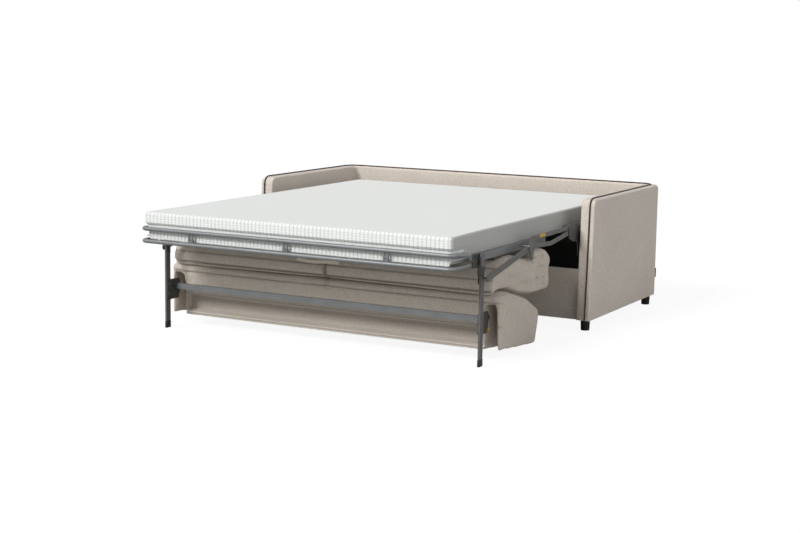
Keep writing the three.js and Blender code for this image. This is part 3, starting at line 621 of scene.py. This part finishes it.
def mattress_core(y0, y1, corner_at_front, corner_at_rear):
    """Points and faces of a length of the mattress; its free end has rounded corners."""
    low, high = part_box("mattress_seat")
    end_gap, side_gap = 4 * MM, 3 * MM  # the core stays this far inside its border
    y0 += end_gap if corner_at_front else 0
    y1 -= end_gap if corner_at_rear else 0
    half, bottom, top = high.x - side_gap, low.z, high.z
    edge, corner, spacing, cells = 12 * MM, bpy.context.scene.sofa_sizes.mattress_corner, 28 * MM, 30

    def inset(radius, distance):
        left = max(0.0, radius - distance)
        return radius - math.sqrt(max(0, radius ** 2 - left ** 2))

    ends = [corner * share for share in (0, 0.04, 0.12, 0.25, 0.4, 0.62)]
    length = y1 - y0
    count = max(2, round((length - 2 * corner) / spacing))
    stations = (ends if corner_at_front else [0]) + list(np.linspace(corner, length - corner, count + 1))
    stations += [length - e for e in reversed(ends)] if corner_at_rear else [length]
    rings = []
    for s in stations:
        free = corner
        if corner_at_front and s < length / 2:
            free = s
        elif corner_at_rear and s > length / 2:
            free = length - s
        wide, drop = half - inset(corner, free), inset(edge, free)
        lo, hi = bottom + drop, top - drop
        section = []
        for cx, cz, start in ((wide - edge, lo + edge, -90), (wide - edge, hi - edge, 0),
                              (edge - wide, hi - edge, 90), (edge - wide, lo + edge, 180)):
            for k in range(7):
                turn = math.radians(start + k * 15)
                section.append((cx + edge * math.cos(turn), cz + edge * math.sin(turn)))
            if start == 0:
                section += [(x, hi) for x in np.linspace(wide - edge, edge - wide, cells)[1:-1]]
            if start == 180:
                section += [(x, lo) for x in np.linspace(edge - wide, wide - edge, cells)[1:-1]]
        rings.append([Vector((x, y0 + s, z)) for x, z in section])
    return skin(rings)


def border_columns(y0, y1, corner_at_front, corner_at_rear, pitch):
    """Places round the sides of a length: point, outward direction, way along the border, share of waffle."""
    half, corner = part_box("mattress_seat")[1].x, bpy.context.scene.sofa_sizes.mattress_corner
    turns, plain = np.linspace(0, 1, 9), 40 * MM  # plain is the spacing where there is no waffle
    right = []
    if corner_at_front:
        right += [(x, y0, 0, -1, x, 1.0) for x in np.arange(0, half - corner, pitch / 8)]
        for share in turns:
            c, s = math.sin(share * math.pi / 2), math.cos(share * math.pi / 2)
            right.append((half - corner + corner * c, y0 + corner - corner * s, c, -s,
                          half - corner * (1 - share * math.pi / 2), 1 - share))
    start, stop = y0 + (corner if corner_at_front else 0), y1 - (corner if corner_at_rear else 0)
    count = max(2, round((stop - start) / plain))
    right += [(half, y, 1, 0, y, 0.0) for y in np.linspace(start, stop, count)]
    if corner_at_rear:
        for share in turns:
            c, s = math.cos(share * math.pi / 2), math.sin(share * math.pi / 2)
            right.append((half - corner + corner * c, y1 - corner + corner * s, c, s, y1, 0.0))
        right += [(x, y1, 0, 1, y1, 0.0) for x in np.arange(half - corner, 0, -plain)]
    left = [(-x, y, -nx, ny, way, share) for x, y, nx, ny, way, share in reversed(right)]
    if corner_at_front:
        return [left + right]
    return [right + left] if corner_at_rear else [left, right]


def groove(way, pitch):
    """1 in the narrow furrow between two cells and 0 on their crowns."""
    return max(0.0, math.cos(math.tau * way / pitch)) ** 3


def waffle_band(y0, y1, corner_at_front, corner_at_rear):
    """Points, faces, marks of painted groove shade and waffle shares of the knitted border round a length of
    mattress.

    In front it is a waffle that hangs over the edge of the grid; along the sides it has faint level ribs."""
    low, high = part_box("mattress_seat")
    sizes = bpy.context.scene.sofa_sizes
    edge, low_edge, soft_foot = 10 * MM, 8 * MM, 6 * MM
    wall, furrow, relief, drawn_in = 6 * MM, 2.4 * MM, 1.8 * MM, 1.6 * MM
    points, faces, grooves, shares = [], [], [], []
    levels = [(0.0, s) for s in np.linspace(0, 1, round((high.z - low.z) / sizes.waffle_row * 5))]
    levels += [(turn, 1.0) for turn in np.linspace(0, math.radians(75), 7)[1:]]
    rows = len(levels)
    for run in border_columns(y0, y1, corner_at_front, corner_at_rear, sizes.waffle):
        first = len(points)
        for x, y, nx, ny, way, share in run:
            bottom, straight = low.z + low_edge - BORDER_HANG * share, high.z - edge
            # An upright seam where the waffle of the front meets the ribs of the side
            seam = math.exp(-((share - 0.45) / 0.2) ** 2) if 0 < share < 1 else 0.0
            for inner in (True, False):
                for turn, rise in levels:
                    z = bottom + (straight - bottom) * rise + edge * math.sin(turn)
                    down = groove(z + edge * turn, sizes.waffle_row)
                    across = groove(way, sizes.waffle)
                    cell, rib = (1 - across) * (1 - 0.7 * down), 0.5 * (1 - 0.6 * down)
                    crown = share * cell + (1 - share) * rib
                    end = min(1.0, (z - bottom) / soft_foot)
                    out = -wall if inner else relief * crown * end - furrow - drawn_in * seam
                    out -= edge * (1 - math.cos(turn))
                    points.append(Vector((x + nx * out, y + ny * out, z)))
                    # Painted shade: the furrows of the waffle, the furrows of the side ribs and the upright
                    # seam are greyed
                    tone = share * (1 - crown) + (1 - share) * 0.35 * down
                    grooves.append(0.0 if inner else min(1.0, tone + 0.8 * seam))
        for i in range(len(run) - 1):
            a, b = first + i * 2 * rows, first + (i + 1) * 2 * rows
            for j in range(rows - 1):
                faces.append((a + rows + j, b + rows + j, b + rows + j + 1, a + rows + j + 1))
                faces.append((a + j, a + j + 1, b + j + 1, b + j))
            faces.append((a, b, b + rows, a + rows))
            faces.append((a + rows - 1, a + 2 * rows - 1, b + 2 * rows - 1, b + rows - 1))
            shares += [(run[i][5] + run[i + 1][5]) / 2] * (2 * rows)
        for a in (first, first + (len(run) - 1) * 2 * rows):
            faces += [(a + j, a + rows + j, a + rows + j + 1, a + j + 1) for j in range(rows - 1)]
            shares += [0.0] * (rows - 1)
    return points, faces, grooves, shares


def nosed(p, rail, front):
    """The mattress above the top of the guard rail swells forward and sideways over it."""
    height, depth, forward, sideways, half_width = (v * MM for v in (22, 260, 17, 9, 800))
    rise = min(1.0, max(0.0, (p.z - rail) / height))
    rise = rise * rise * (3 - 2 * rise)
    near = min(1.0, max(0.0, 1 - (p.y - front) / depth))
    out = math.copysign(sideways, p.x) * min(1.0, abs(p.x) / half_width) ** 4
    return Vector((p.x + out * rise * near, p.y - forward * rise * near ** 2, p.z))


def mattress_length(name, y0, y1, corner_at_front, corner_at_rear):
    """One length of the mattress, its core and its knitted border in one mesh."""
    core, core_faces = mattress_core(y0, y1, corner_at_front, corner_at_rear)
    band, band_faces, grooves, shares = waffle_band(y0, y1, corner_at_front, corner_at_rear)
    faces = core_faces + [tuple(i + len(core) for i in f) for f in band_faces]
    rail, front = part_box("guard_rail")[1].z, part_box("mattress_foot")[0].y
    made = piece(name, [nosed(p, rail, front) for p in core + band], faces, "mattress_knit", None)
    made.data.materials.append(materials()["waffle ticking"])
    # Faces along the sides take the greyer copy of the ticking: painted shade
    made.data.materials.append(materials()["shaded ribbed side ticking"])
    waffled = 0.4  # the least share of waffle with which a face still has the waffle's finish
    indices = [0] * len(core_faces) + [1 if share > waffled else 2 for share in shares]
    made.data.polygons.foreach_set("material_index", indices)
    mark(made.data, "groove", [0.0] * len(core) + grooves)
    return made


class SOFA_OT_mattress(bpy.types.Operator):
    """Sews the mattress: a length over the foot and the seat, a fold and a head length"""

    bl_idname = "sofa.mattress"
    bl_label = "Mattress"

    def execute(self, context):
        foot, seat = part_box("mattress_foot"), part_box("mattress_seat")
        fold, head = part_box("mattress_fold"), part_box("mattress_head")
        bed = mattress_length("mattress_bed", foot[0].y, seat[1].y, True, False)
        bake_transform(bed)
        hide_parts("mattress_foot", "mattress_seat")
        middle = mattress_length("mattress_middle", fold[0].y, fold[1].y, False, False)
        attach(middle, "head_section")
        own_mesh(middle)
        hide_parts("mattress_fold")
        pillow_end = mattress_length("mattress_pillow_end", head[0].y, head[1].y, False, True)
        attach(pillow_end, "head_section")
        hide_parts("mattress_head")
        return {"FINISHED"}


def joined(name, meshes, hollows):
    """One mesh with the faces of several; a hull over the corners in each region fills the hollow there."""
    shape = bmesh.new()
    for mesh in meshes:
        shape.from_mesh(mesh)
    corners = [v.co.copy() for v in shape.verts]
    for low, high in hollows:
        cloud = [c for c in corners if all(low[i] <= c[i] <= high[i] for i in range(3))]
        bmesh.ops.convex_hull(shape, input=[shape.verts.new(c) for c in cloud])
    whole = bpy.data.meshes.new(name)
    shape.to_mesh(whole)
    shape.free()
    return whole


def normals_of(mesh):
    """The outward directions at the vertices, as rows."""
    found = np.zeros(len(mesh.vertices) * 3)
    mesh.vertices.foreach_get("normal", found)
    return found.reshape(-1, 3)


def moved(mesh, points):
    """Puts the vertices of a mesh at new places."""
    mesh.vertices.foreach_set("co", np.asarray(points).ravel())
    mesh.update()


def cloth_blown_up(made):
    """Where the vertices come to lie when a short cloth simulation blows the form up."""
    cloth = made.modifiers.new("filling", "CLOTH")
    cloth.settings.use_pressure = True
    cloth.settings.uniform_pressure_force = 4.0
    cloth.settings.effector_weights.gravity = 0
    cloth.settings.quality = 4
    cloth.settings.tension_stiffness = 30
    scene = bpy.context.scene
    steps = scene.sofa_sizes.steps
    cloth.point_cache.frame_start, cloth.point_cache.frame_end = 1, steps
    for step in range(1, steps + 1):
        scene.frame_set(step)
    shown = made.evaluated_get(bpy.context.evaluated_depsgraph_get())
    swollen = positions(shown.to_mesh())
    shown.to_mesh_clear()
    made.modifiers.clear()
    scene.frame_set(1)
    return swollen


def stuffed_copy(nodes, name, body, cell, cap, shrink, hollows):
    """Cloth filled out over frame solids: remeshed as one form, blown up a little and held within a cap."""
    made = bpy.data.objects.new(name, joined(name, [frame["nodes"][node].data for node in nodes], hollows))
    bpy.context.scene.collection.objects.link(made)
    bpy.context.view_layer.objects.active = made
    remesh = made.modifiers.new("cells", "REMESH")
    remesh.mode, remesh.voxel_size = "VOXEL", cell
    apply_modifiers(made)
    smooth = made.modifiers.new("soft", "SMOOTH")
    smooth.factor, smooth.iterations = 0.5, 3
    apply_modifiers(made)
    rest = positions(made.data) - normals_of(made.data) * shrink
    moved(made.data, rest)
    move = cloth_blown_up(made) - rest
    reach = np.linalg.norm(move, axis=1, keepdims=True)
    moved(made.data, rest + move * np.minimum(1, cap / np.maximum(reach, 1e-9)))
    finer = made.modifiers.new("finer", "SUBSURF")
    finer.levels = finer.render_levels = 1
    apply_modifiers(made)
    made.data.materials.clear()
    # The cushion cloth is the shell's weave made darker: painted shade
    made.data.materials.append(materials()["shaded cushion cloth"])
    made.data.polygons.foreach_set("use_smooth", [True] * len(made.data.polygons))
    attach(made, body)
    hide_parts(*nodes)
    return made


def apply_modifiers(made):
    """Bakes the modifiers of an object into its mesh."""
    shape = bpy.data.meshes.new_from_object(made.evaluated_get(bpy.context.evaluated_depsgraph_get()))
    made.modifiers.clear()
    made.data = shape


def sew(made, seams, depth):
    """Sews seams into the front and along the end edges: drawn in, puckered beside the thread and darkened
    with painted shade.

    A seam is an axis (0 for an upright line, 2 for a level one), its place on that axis, its lowest and
    highest height, its width and its depth as a share of the given one."""
    points, outwards = positions(made.data), normals_of(made.data)
    # The end edges are where the surface turns from the front to the side
    ends = np.exp(-(((np.abs(outwards[:, 0]) - 0.7) / 0.1) ** 2))
    facing = np.clip(-2.5 * outwards[:, 1], 0, 1)
    # Painted shade: the end edges are darkened as well as drawn in
    close, drawn, beside = 0.6 * ends, 0.5 * ends, 0 * ends
    for axis, place, low, high, width, share in seams:
        off = np.abs(points[:, axis] - place)
        within = facing * (points[:, 2] > low) * (points[:, 2] < high)
        line = within * np.exp(-((off / width) ** 2))
        close, drawn = np.maximum(close, line), np.maximum(drawn, share * line)
        beside = np.maximum(beside, within * np.exp(-((off / (4 * width)) ** 2)))
    pucker = 9 * MM  # width of one pucker along the thread, and three times that across it
    ripple = np.array([noise.noise(Vector((p[0], 0, p[2] * 0.3)) / pucker) for p in points])
    moved(made.data, points - outwards * (depth * (drawn + 0.9 * beside * ripple))[:, None])
    # Painted shade: the furrows of the seams, the end edges and the gaps between the cushions are marked to
    # be darkened
    mark(made.data, "seam", np.clip(close, 0, 1))


class SOFA_OT_seat_unit(bpy.types.Operator):
    """Fills the seat cushions and the apron, which hang upside down under the bed"""

    bl_idname = "sofa.seat_unit"
    bl_label = "Seat unit"

    def execute(self, context):
        sizes = context.scene.sofa_sizes
        low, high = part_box("seat_cushion_right")
        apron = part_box("seat_apron")[0]
        lap, tall, wide = 40 * MM, 80 * MM, 1.0
        behind = ((-wide, apron.y - lap, apron.z - MM), (wide, wide, apron.z + tall))
        cover = stuffed_copy(("seat_cushion_left", "seat_cushion_right", "seat_apron"),
                             "seat_cover", "seat_section", sizes.voxel, sizes.swell, 3 * MM, (behind,))
        # A deep level seam round the cushions, two shallow ones above it and a deep upright one between them
        seams = [(2, low.z + share * (high.z - low.z), low.z, high.z, width, deep)
                 for share, width, deep in ((0.36, 8 * MM, 5.0), (0.62, 4 * MM, 1.0), (0.84, 4 * MM, 1.0))]
        seams.append((0, 0.0, low.z, high.z, 7 * MM, 5.0))
        # sew darkens each of these with painted shade; the deep ones lie where the cushions meet
        sew(cover, seams, 2.2 * MM)
        return {"FINISHED"}


class SOFA_OT_backrest(bpy.types.Operator):
    """Upholsters the backrest, which lies face up under the seat unit"""

    bl_idname = "sofa.backrest"
    bl_label = "Backrest"

    def execute(self, context):
        sizes = context.scene.sofa_sizes
        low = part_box("backrest_block")[0]
        face, wide = low.y, 1.0
        slope = ((-wide, face + 190 * MM, low.z - MM), (wide, wide, wide))
        cover = stuffed_copy(("backrest_block", "backrest_cushion_left", "backrest_cushion_right"),
                             "backrest_cover", "backrest", sizes.voxel, 4 * MM, 2 * MM, (slope,))
        # Level seams: under the cushions, above the recess and along the foot
        seams = [(2, low.z + up, low.z, wide, 3.5 * MM, deep)
                 for up, deep in ((248 * MM, 1.2), (141 * MM, 0.6), (42 * MM, 0.8))]
        # sew darkens these with painted shade too
        sew(cover, seams, 2.2 * MM)
        # The recess in the foot is darkened as a seam is, since little light reaches into it
        openings = frame["record"]["physics"]["openings"]
        recess = next(row["box_m"] for row in openings if row["name"] == "backrest_base_recess")
        points, below, rim = positions(cover.data), 9 * MM, 14 * MM
        bottom, top = np.array(recess[0]) - below, np.array(recess[1]) + rim
        bottom[1] = face + rim
        within = np.all((points > bottom) & (points < top), axis=1)
        values = np.zeros(len(points), np.float32)
        cover.data.attributes["seam"].data.foreach_get("value", values)
        mark(cover.data, "seam", np.maximum(values, 0.5 * within))
        return {"FINISHED"}


class SOFA_OT_bed_frame(bpy.types.Operator):
    """Coats the steel of the bed frame and bends its smooth tubes"""

    bl_idname = "sofa.bed_frame"
    bl_label = "Bed frame"

    def bent_tube(self, name, node, height, tail):
        """A round tube across the foot end, bent back at both sides; tail leads into the right-hand bend."""
        low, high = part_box(node)
        half, front, bend = high.x - TUBE_RADIUS, low.y + TUBE_RADIUS, 30 * MM
        right = [Vector((half, y, z)) for y, z in tail]
        for turn in np.linspace(0, math.pi / 2, 12):
            x, y = half - bend * (1 - math.cos(turn)), front + bend * (1 - math.sin(turn))
            right.append(Vector((x, y, height)))
        path = right + [Vector((-p.x, p.y, p.z)) for p in reversed(right)]
        made = piece(name, *tube(path, TUBE_RADIUS, 24), "grey_steel", "end_section")
        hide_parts(node)

    def execute(self, context):
        finishes = materials()
        slots = {row["node"]: row["material_slot"] for row in frame["record"]["subparts"]}
        for node, thing in frame["nodes"].items():
            thing.data.materials.clear()
            darker = node.startswith(("leg_", "brace", "swing")) and slots[node] == "grey_steel"
            finish = "olive grey powder coat" if darker else FINISH_OF_SLOT[slots[node]]
            thing.data.materials.append(finishes[finish])
        bevelled("crossbar", EDGE)
        for hand in SIDES:
            for part in ("leg", "seat_rail", "head_rail"):
                bevelled(f"{part}_{hand}", EDGE)
        low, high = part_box("end_tube")
        level = low.z + TUBE_RADIUS
        self.bent_tube("foot_end_tube", "end_tube", level, [(high.y, level)])
        low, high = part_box("guard_rail")
        level, ramp, shoulder = high.z - TUBE_RADIUS, 26 * MM, 12 * MM
        self.bent_tube("guard_tube", "guard_rail", level,
                       [(high.y, low.z + TUBE_RADIUS), (high.y - ramp, level - shoulder)])
        return {"FINISHED"}


def at(x, y, z):
    """A place in millimetres: from the middle, from the front foot of the arms and from the floor."""
    return Vector((x * MM, FRONT + y * MM, z * MM))


class SOFA_OT_fasteners(bpy.types.Operator):
    """Adds rivets, bolts, a slot cap, the plates on the leg tops, a strap and the bare sticker and tag"""

    bl_idname = "sofa.fasteners"
    bl_label = "Fasteners"

    def head(self, name, where, radius, rise, body, slot="grey_steel", finish=None):
        """A domed head whose flat side lies at where and whose dome points the way rise does."""
        finish = finish or ("olive grey powder coat" if slot == "grey_steel" else None)
        profile = [(radius * 0.3, 0), (radius, 0), (radius, rise * 0.4), (radius * 0.86, rise * 0.75),
                   (radius * 0.5, rise * 0.96), (radius * 0.2, rise)]
        return piece(name, *lathe(profile, where, "X", 24), slot, body, finish)

    def plate(self, name, low, high, body, slot="dark_steel", radius=1.2 * MM, finish=None):
        """A flat plate with soft edges between two corners."""
        return piece(name, *soft_box(low, high, radius, 2, (1, 1, 1)), slot, body, finish)

    def rivets(self, hand, side):
        """The rivets of a brace, with the round end's middle worked out from its reach beyond the pivot."""
        low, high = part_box("brace_right")
        foot = PIVOT["brace_turn"]
        round_end = foot.y - low.y
        top_y, top_z = high.y - round_end, high.z - round_end
        radius, rise, rise_inside = 7 * MM, side * 3 * MM, side * -1.2 * MM
        outer = Vector((side * high.x, foot.y, foot.z))
        self.head(f"brace_rivet_outer_{hand}", outer, radius, rise, "leg_frame")
        ends = ((foot.y, foot.z, "leg_frame"), (top_y, top_z, "seat_section"))
        for k, (y, z, body) in enumerate(ends):
            inner = Vector((side * low.x, y, z))
            self.head(f"brace_rivet_inner_{k}_{hand}", inner, radius, rise_inside, body)

    def bolts(self, hand, side):
        """Two bolts through a leg and its plate, with a head on either face."""
        low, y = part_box("leg_plate_right")[0], PIVOT["leg_turn"].y
        leg_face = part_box("leg_right")[0].x + 9 * MM
        radius, rise, rise_inside = 6.5 * MM, side * 3 * MM, side * -3.5 * MM
        for k, up in enumerate((30 * MM, 78 * MM)):
            outside, inside = Vector((side * leg_face, y, low.z + up)), Vector((side * low.x, y, low.z + up))
            self.head(f"leg_bolt_{k}_{hand}", outside, radius, rise, "leg_frame")
            self.head(f"plate_bolt_{k}_{hand}", inside, radius, rise_inside, "leg_frame")

    def hanger(self, hand, side):
        """The plate pinned to the inner face of a leg top, and the corner plate in front of it."""
        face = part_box("leg_right")[0].x
        outer, thick, sunk = face - 4.6 * MM, 2.5 * MM, 0.2 * MM
        y, top = PIVOT["leg_turn"].y - 3 * MM, PIVOT["leg_turn"].z - 18 * MM
        half, tall = 12 * MM, 96 * MM
        near, far = sorted((side * (outer - thick), side * outer))
        low, high = Vector((near, y - half, top - tall)), Vector((far, y + half, top))
        self.plate(f"hanger_plate_{hand}", low, high, "leg_frame")
        for k, down in enumerate((84 * MM, 22 * MM)):
            ends = [Vector((side * x, y, top - down)) for x in (outer, face - sunk)]
            piece(f"hanger_pin_{k}_{hand}", *tube(ends, 5 * MM, 16), "dark_steel", "leg_frame")
        # The corner plate, from its upper outer corner round to the slanting cut
        outline = ((868, 446), (829, 446), (829, 402), (850, 402), (862, 424))
        front, back = -1001, -998
        rings = [[at(side * x, y, z) for x, z in outline] for y in (front, back)]
        piece(f"corner_plate_{hand}", *skin(rings), "dark_steel", "leg_frame", smooth=False)

    def slot_cap(self):
        """The yellow cap in the slot of the right leg plate, with its black core."""
        low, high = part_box("leg_plate_right")
        cap = Vector((high.x + 0.05 * MM, high.y - 11 * MM, low.z + 14 * MM))
        radius, rise, proud = 5.5 * MM, 14 * MM, 13.9 * MM
        self.head("slot_cap", cap, radius, rise, "leg_frame", "dark_steel", "yellow vinyl sticker")
        core = cap + Vector((proud, 0, 0))
        self.head("slot_cap_core", core, 3 * MM, 1.2 * MM, "leg_frame", "black_plastic")

    def sticker(self):
        """The plain yellow sticker on the outer face of the right swing arm."""
        face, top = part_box("swing_arm_right")[1].x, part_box("swing_arm_right")[1].z - 2.5 * MM
        off, thick, tall = 0.02 * MM, 0.38 * MM, 15 * MM
        low = Vector((face + off, FRONT - 430 * MM, top - tall))
        high = Vector((face + off + thick, FRONT - 364 * MM, top))
        self.plate("bare_sticker", low, high, "swing_arms", "grey_steel", 0.1 * MM, "yellow vinyl sticker")

    def tag(self):
        """The small bare tag sewn to the rounded rear corner of the right arm, thinner at its free edge."""
        turn = math.radians(28)
        out, along = Vector((math.cos(turn), math.sin(turn), 0)), Vector((-math.sin(turn), math.cos(turn), 0))
        height, tall, sewn_in, free, seam_half, free_half = (v * MM for v in (150, 50, 2, 8, 0.7, 0.5))
        middle = Vector((SHELL[1].x - REAR_CORNER, SHELL[1].y - REAR_CORNER, height))
        sewn = middle + out * (REAR_CORNER - sewn_in)
        section = ((0, -seam_half), (free, -free_half), (free, free_half), (0, seam_half))
        rings = [[sewn + out * a + along * b + Vector((0, 0, z)) for a, b in section] for z in (0, tall)]
        piece("bare_tag", *skin(rings), "piping", "sofa_shell", smooth=False)

    def strap(self):
        """The pale webbing strap that hangs in a shallow wave near the middle of the seat unit's front."""
        left, right, front, height, sway, droop = -131, 95, -936, 388, 6, 3
        path = [at(x, front - sway * math.cos(x / 50), height + droop * math.sin(x / 35))
                for x in np.linspace(left, right, 30)]
        y, z = 0.8 * MM, 7 * MM
        rings = [[p + Vector((0, *corner)) for corner in ((-y, -z), (y, -z), (y, z), (-y, z))] for p in path]
        piece("hanging_strap", *skin(rings), "cushion_fabric", "seat_section", "cream webbing", smooth=False)

    def execute(self, context):
        for hand, side in SIDES.items():
            self.rivets(hand, side)
            self.bolts(hand, side)
            self.hanger(hand, side)
        self.slot_cap()
        self.sticker()
        self.tag()
        self.strap()
        return {"FINISHED"}


class SOFA_OT_stage(bpy.types.Operator):
    """Sets the camera, the lamps and the pale floor"""

    bl_idname = "sofa.stage"
    bl_label = "Stage"

    def camera(self):
        """The camera as fitted to the straight edges of the shell and the mattress."""
        turn, down, roll = (math.radians(angle) for angle in (28.044, 8.512, 0.914))
        place = Vector((3.692, FRONT - 7.036, 1.455))
        forward = Vector((-math.sin(turn) * math.cos(down), math.cos(turn) * math.cos(down), -math.sin(down)))
        level = Vector((math.cos(turn), math.sin(turn), 0))
        up = level.cross(forward)
        right = level * math.cos(roll) + up * math.sin(roll)
        above = up * math.cos(roll) - level * math.sin(roll)
        eye = bpy.data.objects.new("camera", bpy.data.cameras.new("camera"))
        bpy.context.scene.collection.objects.link(eye)
        axes = Matrix((right, above, -forward)).transposed()
        eye.matrix_world = Matrix.Translation(place) @ axes.to_4x4()
        eye.data.lens, eye.data.sensor_width = 70.36, 36
        eye.data.shift_x, eye.data.shift_y = -0.00698, -0.0046
        bpy.context.scene.camera = eye

    def lamp(self, name, towards, spread, level):
        """A far, broad lamp; level is how bright it makes a white face that looks straight at it."""
        light = bpy.data.lights.new(name, "SUN")
        light.angle, light.energy = math.radians(spread), level * math.pi
        holder = bpy.data.objects.new(name, light)
        bpy.context.scene.collection.objects.link(holder)
        holder.rotation_euler = (-Vector(towards)).to_track_quat("-Z", "Y").to_euler()

    def execute(self, context):
        self.camera()
        scene = context.scene
        scene.view_settings.view_transform = "Standard"
        self.lamp("key", (-0.32, -0.86, 0.7), 22, 0.95)
        self.lamp("fill", (0.9, -0.2, 0.5), 60, 0.28)
        world = bpy.data.worlds.new("studio")
        scene.world = world
        world.use_nodes = True
        tree = world.node_tree
        tree.nodes.clear()
        rays = add(tree, "LightPath").outputs
        seen = rays["Is Camera Ray"]
        for ray in ("Is Glossy Ray", "Is Transmission Ray"):
            seen = add(tree, "Math", {0: seen, 1: rays[ray]}, operation="MAXIMUM").outputs[0]
        room = add(tree, "Background", {"Color": linear("#FFFFFF"), "Strength": 0.2})
        backdrop = add(tree, "Background", {"Color": linear("#FFFFFF"), "Strength": 1.0})
        mixed = add(tree, "MixShader", {0: seen, 1: room.outputs[0], 2: backdrop.outputs[0]})
        add(tree, "OutputWorld", {"Surface": mixed.outputs[0]})

        reach = 14
        corners = [(-reach, -reach, 0), (reach, -reach, 0), (reach, reach, 0), (-reach, reach, 0)]
        floor = bpy.data.meshes.new("floor")
        floor.from_pydata(corners, [], [(0, 1, 2, 3)])
        ground = bpy.data.objects.new("floor", floor)
        scene.collection.objects.link(ground)
        tree, shader, _ = new_material("white studio floor")
        feed(tree, shader, {"Base Color": linear("#BEBEBE"), "Roughness": 0.9})
        rays = add(tree, "LightPath")
        glow = add(tree, "Emission", {"Color": linear("#FFFFFF"), "Strength": 1.14})
        share = add(tree, "Math", {0: rays.outputs["Is Camera Ray"], 1: 0.8}, operation="MULTIPLY")
        mixed = add(tree, "MixShader", {0: share.outputs[0], 1: shader.outputs[0], 2: glow.outputs[0]})
        feed(tree, tree.nodes["Material Output"], {"Surface": mixed.outputs[0]})
        floor.materials.append(bpy.data.materials["white studio floor"])
        return {"FINISHED"}


class SOFA_PT_panel(bpy.types.Panel):
    """Lists the pieces of the sofa bed"""

    bl_idname = "SOFA_PT_panel"
    bl_label = "Sofa bed"
    bl_space_type = "VIEW_3D"
    bl_region_type = "UI"
    bl_category = "Sofa bed"

    def draw(self, context):
        for group in (context.scene.sofa_sizes, context.scene.sofa_colours):
            for key in group.bl_rna.properties.keys():
                if key not in ("rna_type", "name"):
                    self.layout.prop(group, key)
        for step in STEPS:
            self.layout.operator(step.bl_idname)


STEPS = (SOFA_OT_stage, SOFA_OT_bed_frame, SOFA_OT_shell, SOFA_OT_piping, SOFA_OT_feet, SOFA_OT_mattress,
         SOFA_OT_seat_unit, SOFA_OT_backrest, SOFA_OT_fasteners)
CLASSES = (SofaColours, SofaSizes, *STEPS, SOFA_PT_panel)


def register():
    for cls in CLASSES:
        bpy.utils.register_class(cls)
    bpy.types.Scene.sofa_colours = PointerProperty(type=SofaColours)
    bpy.types.Scene.sofa_sizes = PointerProperty(type=SofaSizes)


def unregister():
    del bpy.types.Scene.sofa_colours
    del bpy.types.Scene.sofa_sizes
    for cls in reversed(CLASSES):
        bpy.utils.unregister_class(cls)


def main():
    register()
    for thing in list(bpy.data.objects):
        if "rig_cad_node" not in thing and thing.type in {"MESH", "LIGHT", "CAMERA"}:
            bpy.data.objects.remove(thing)
    for step in STEPS:
        group, name = step.bl_idname.split(".")
        getattr(getattr(bpy.ops, group), name)()


if __name__ == "__main__":
    main()
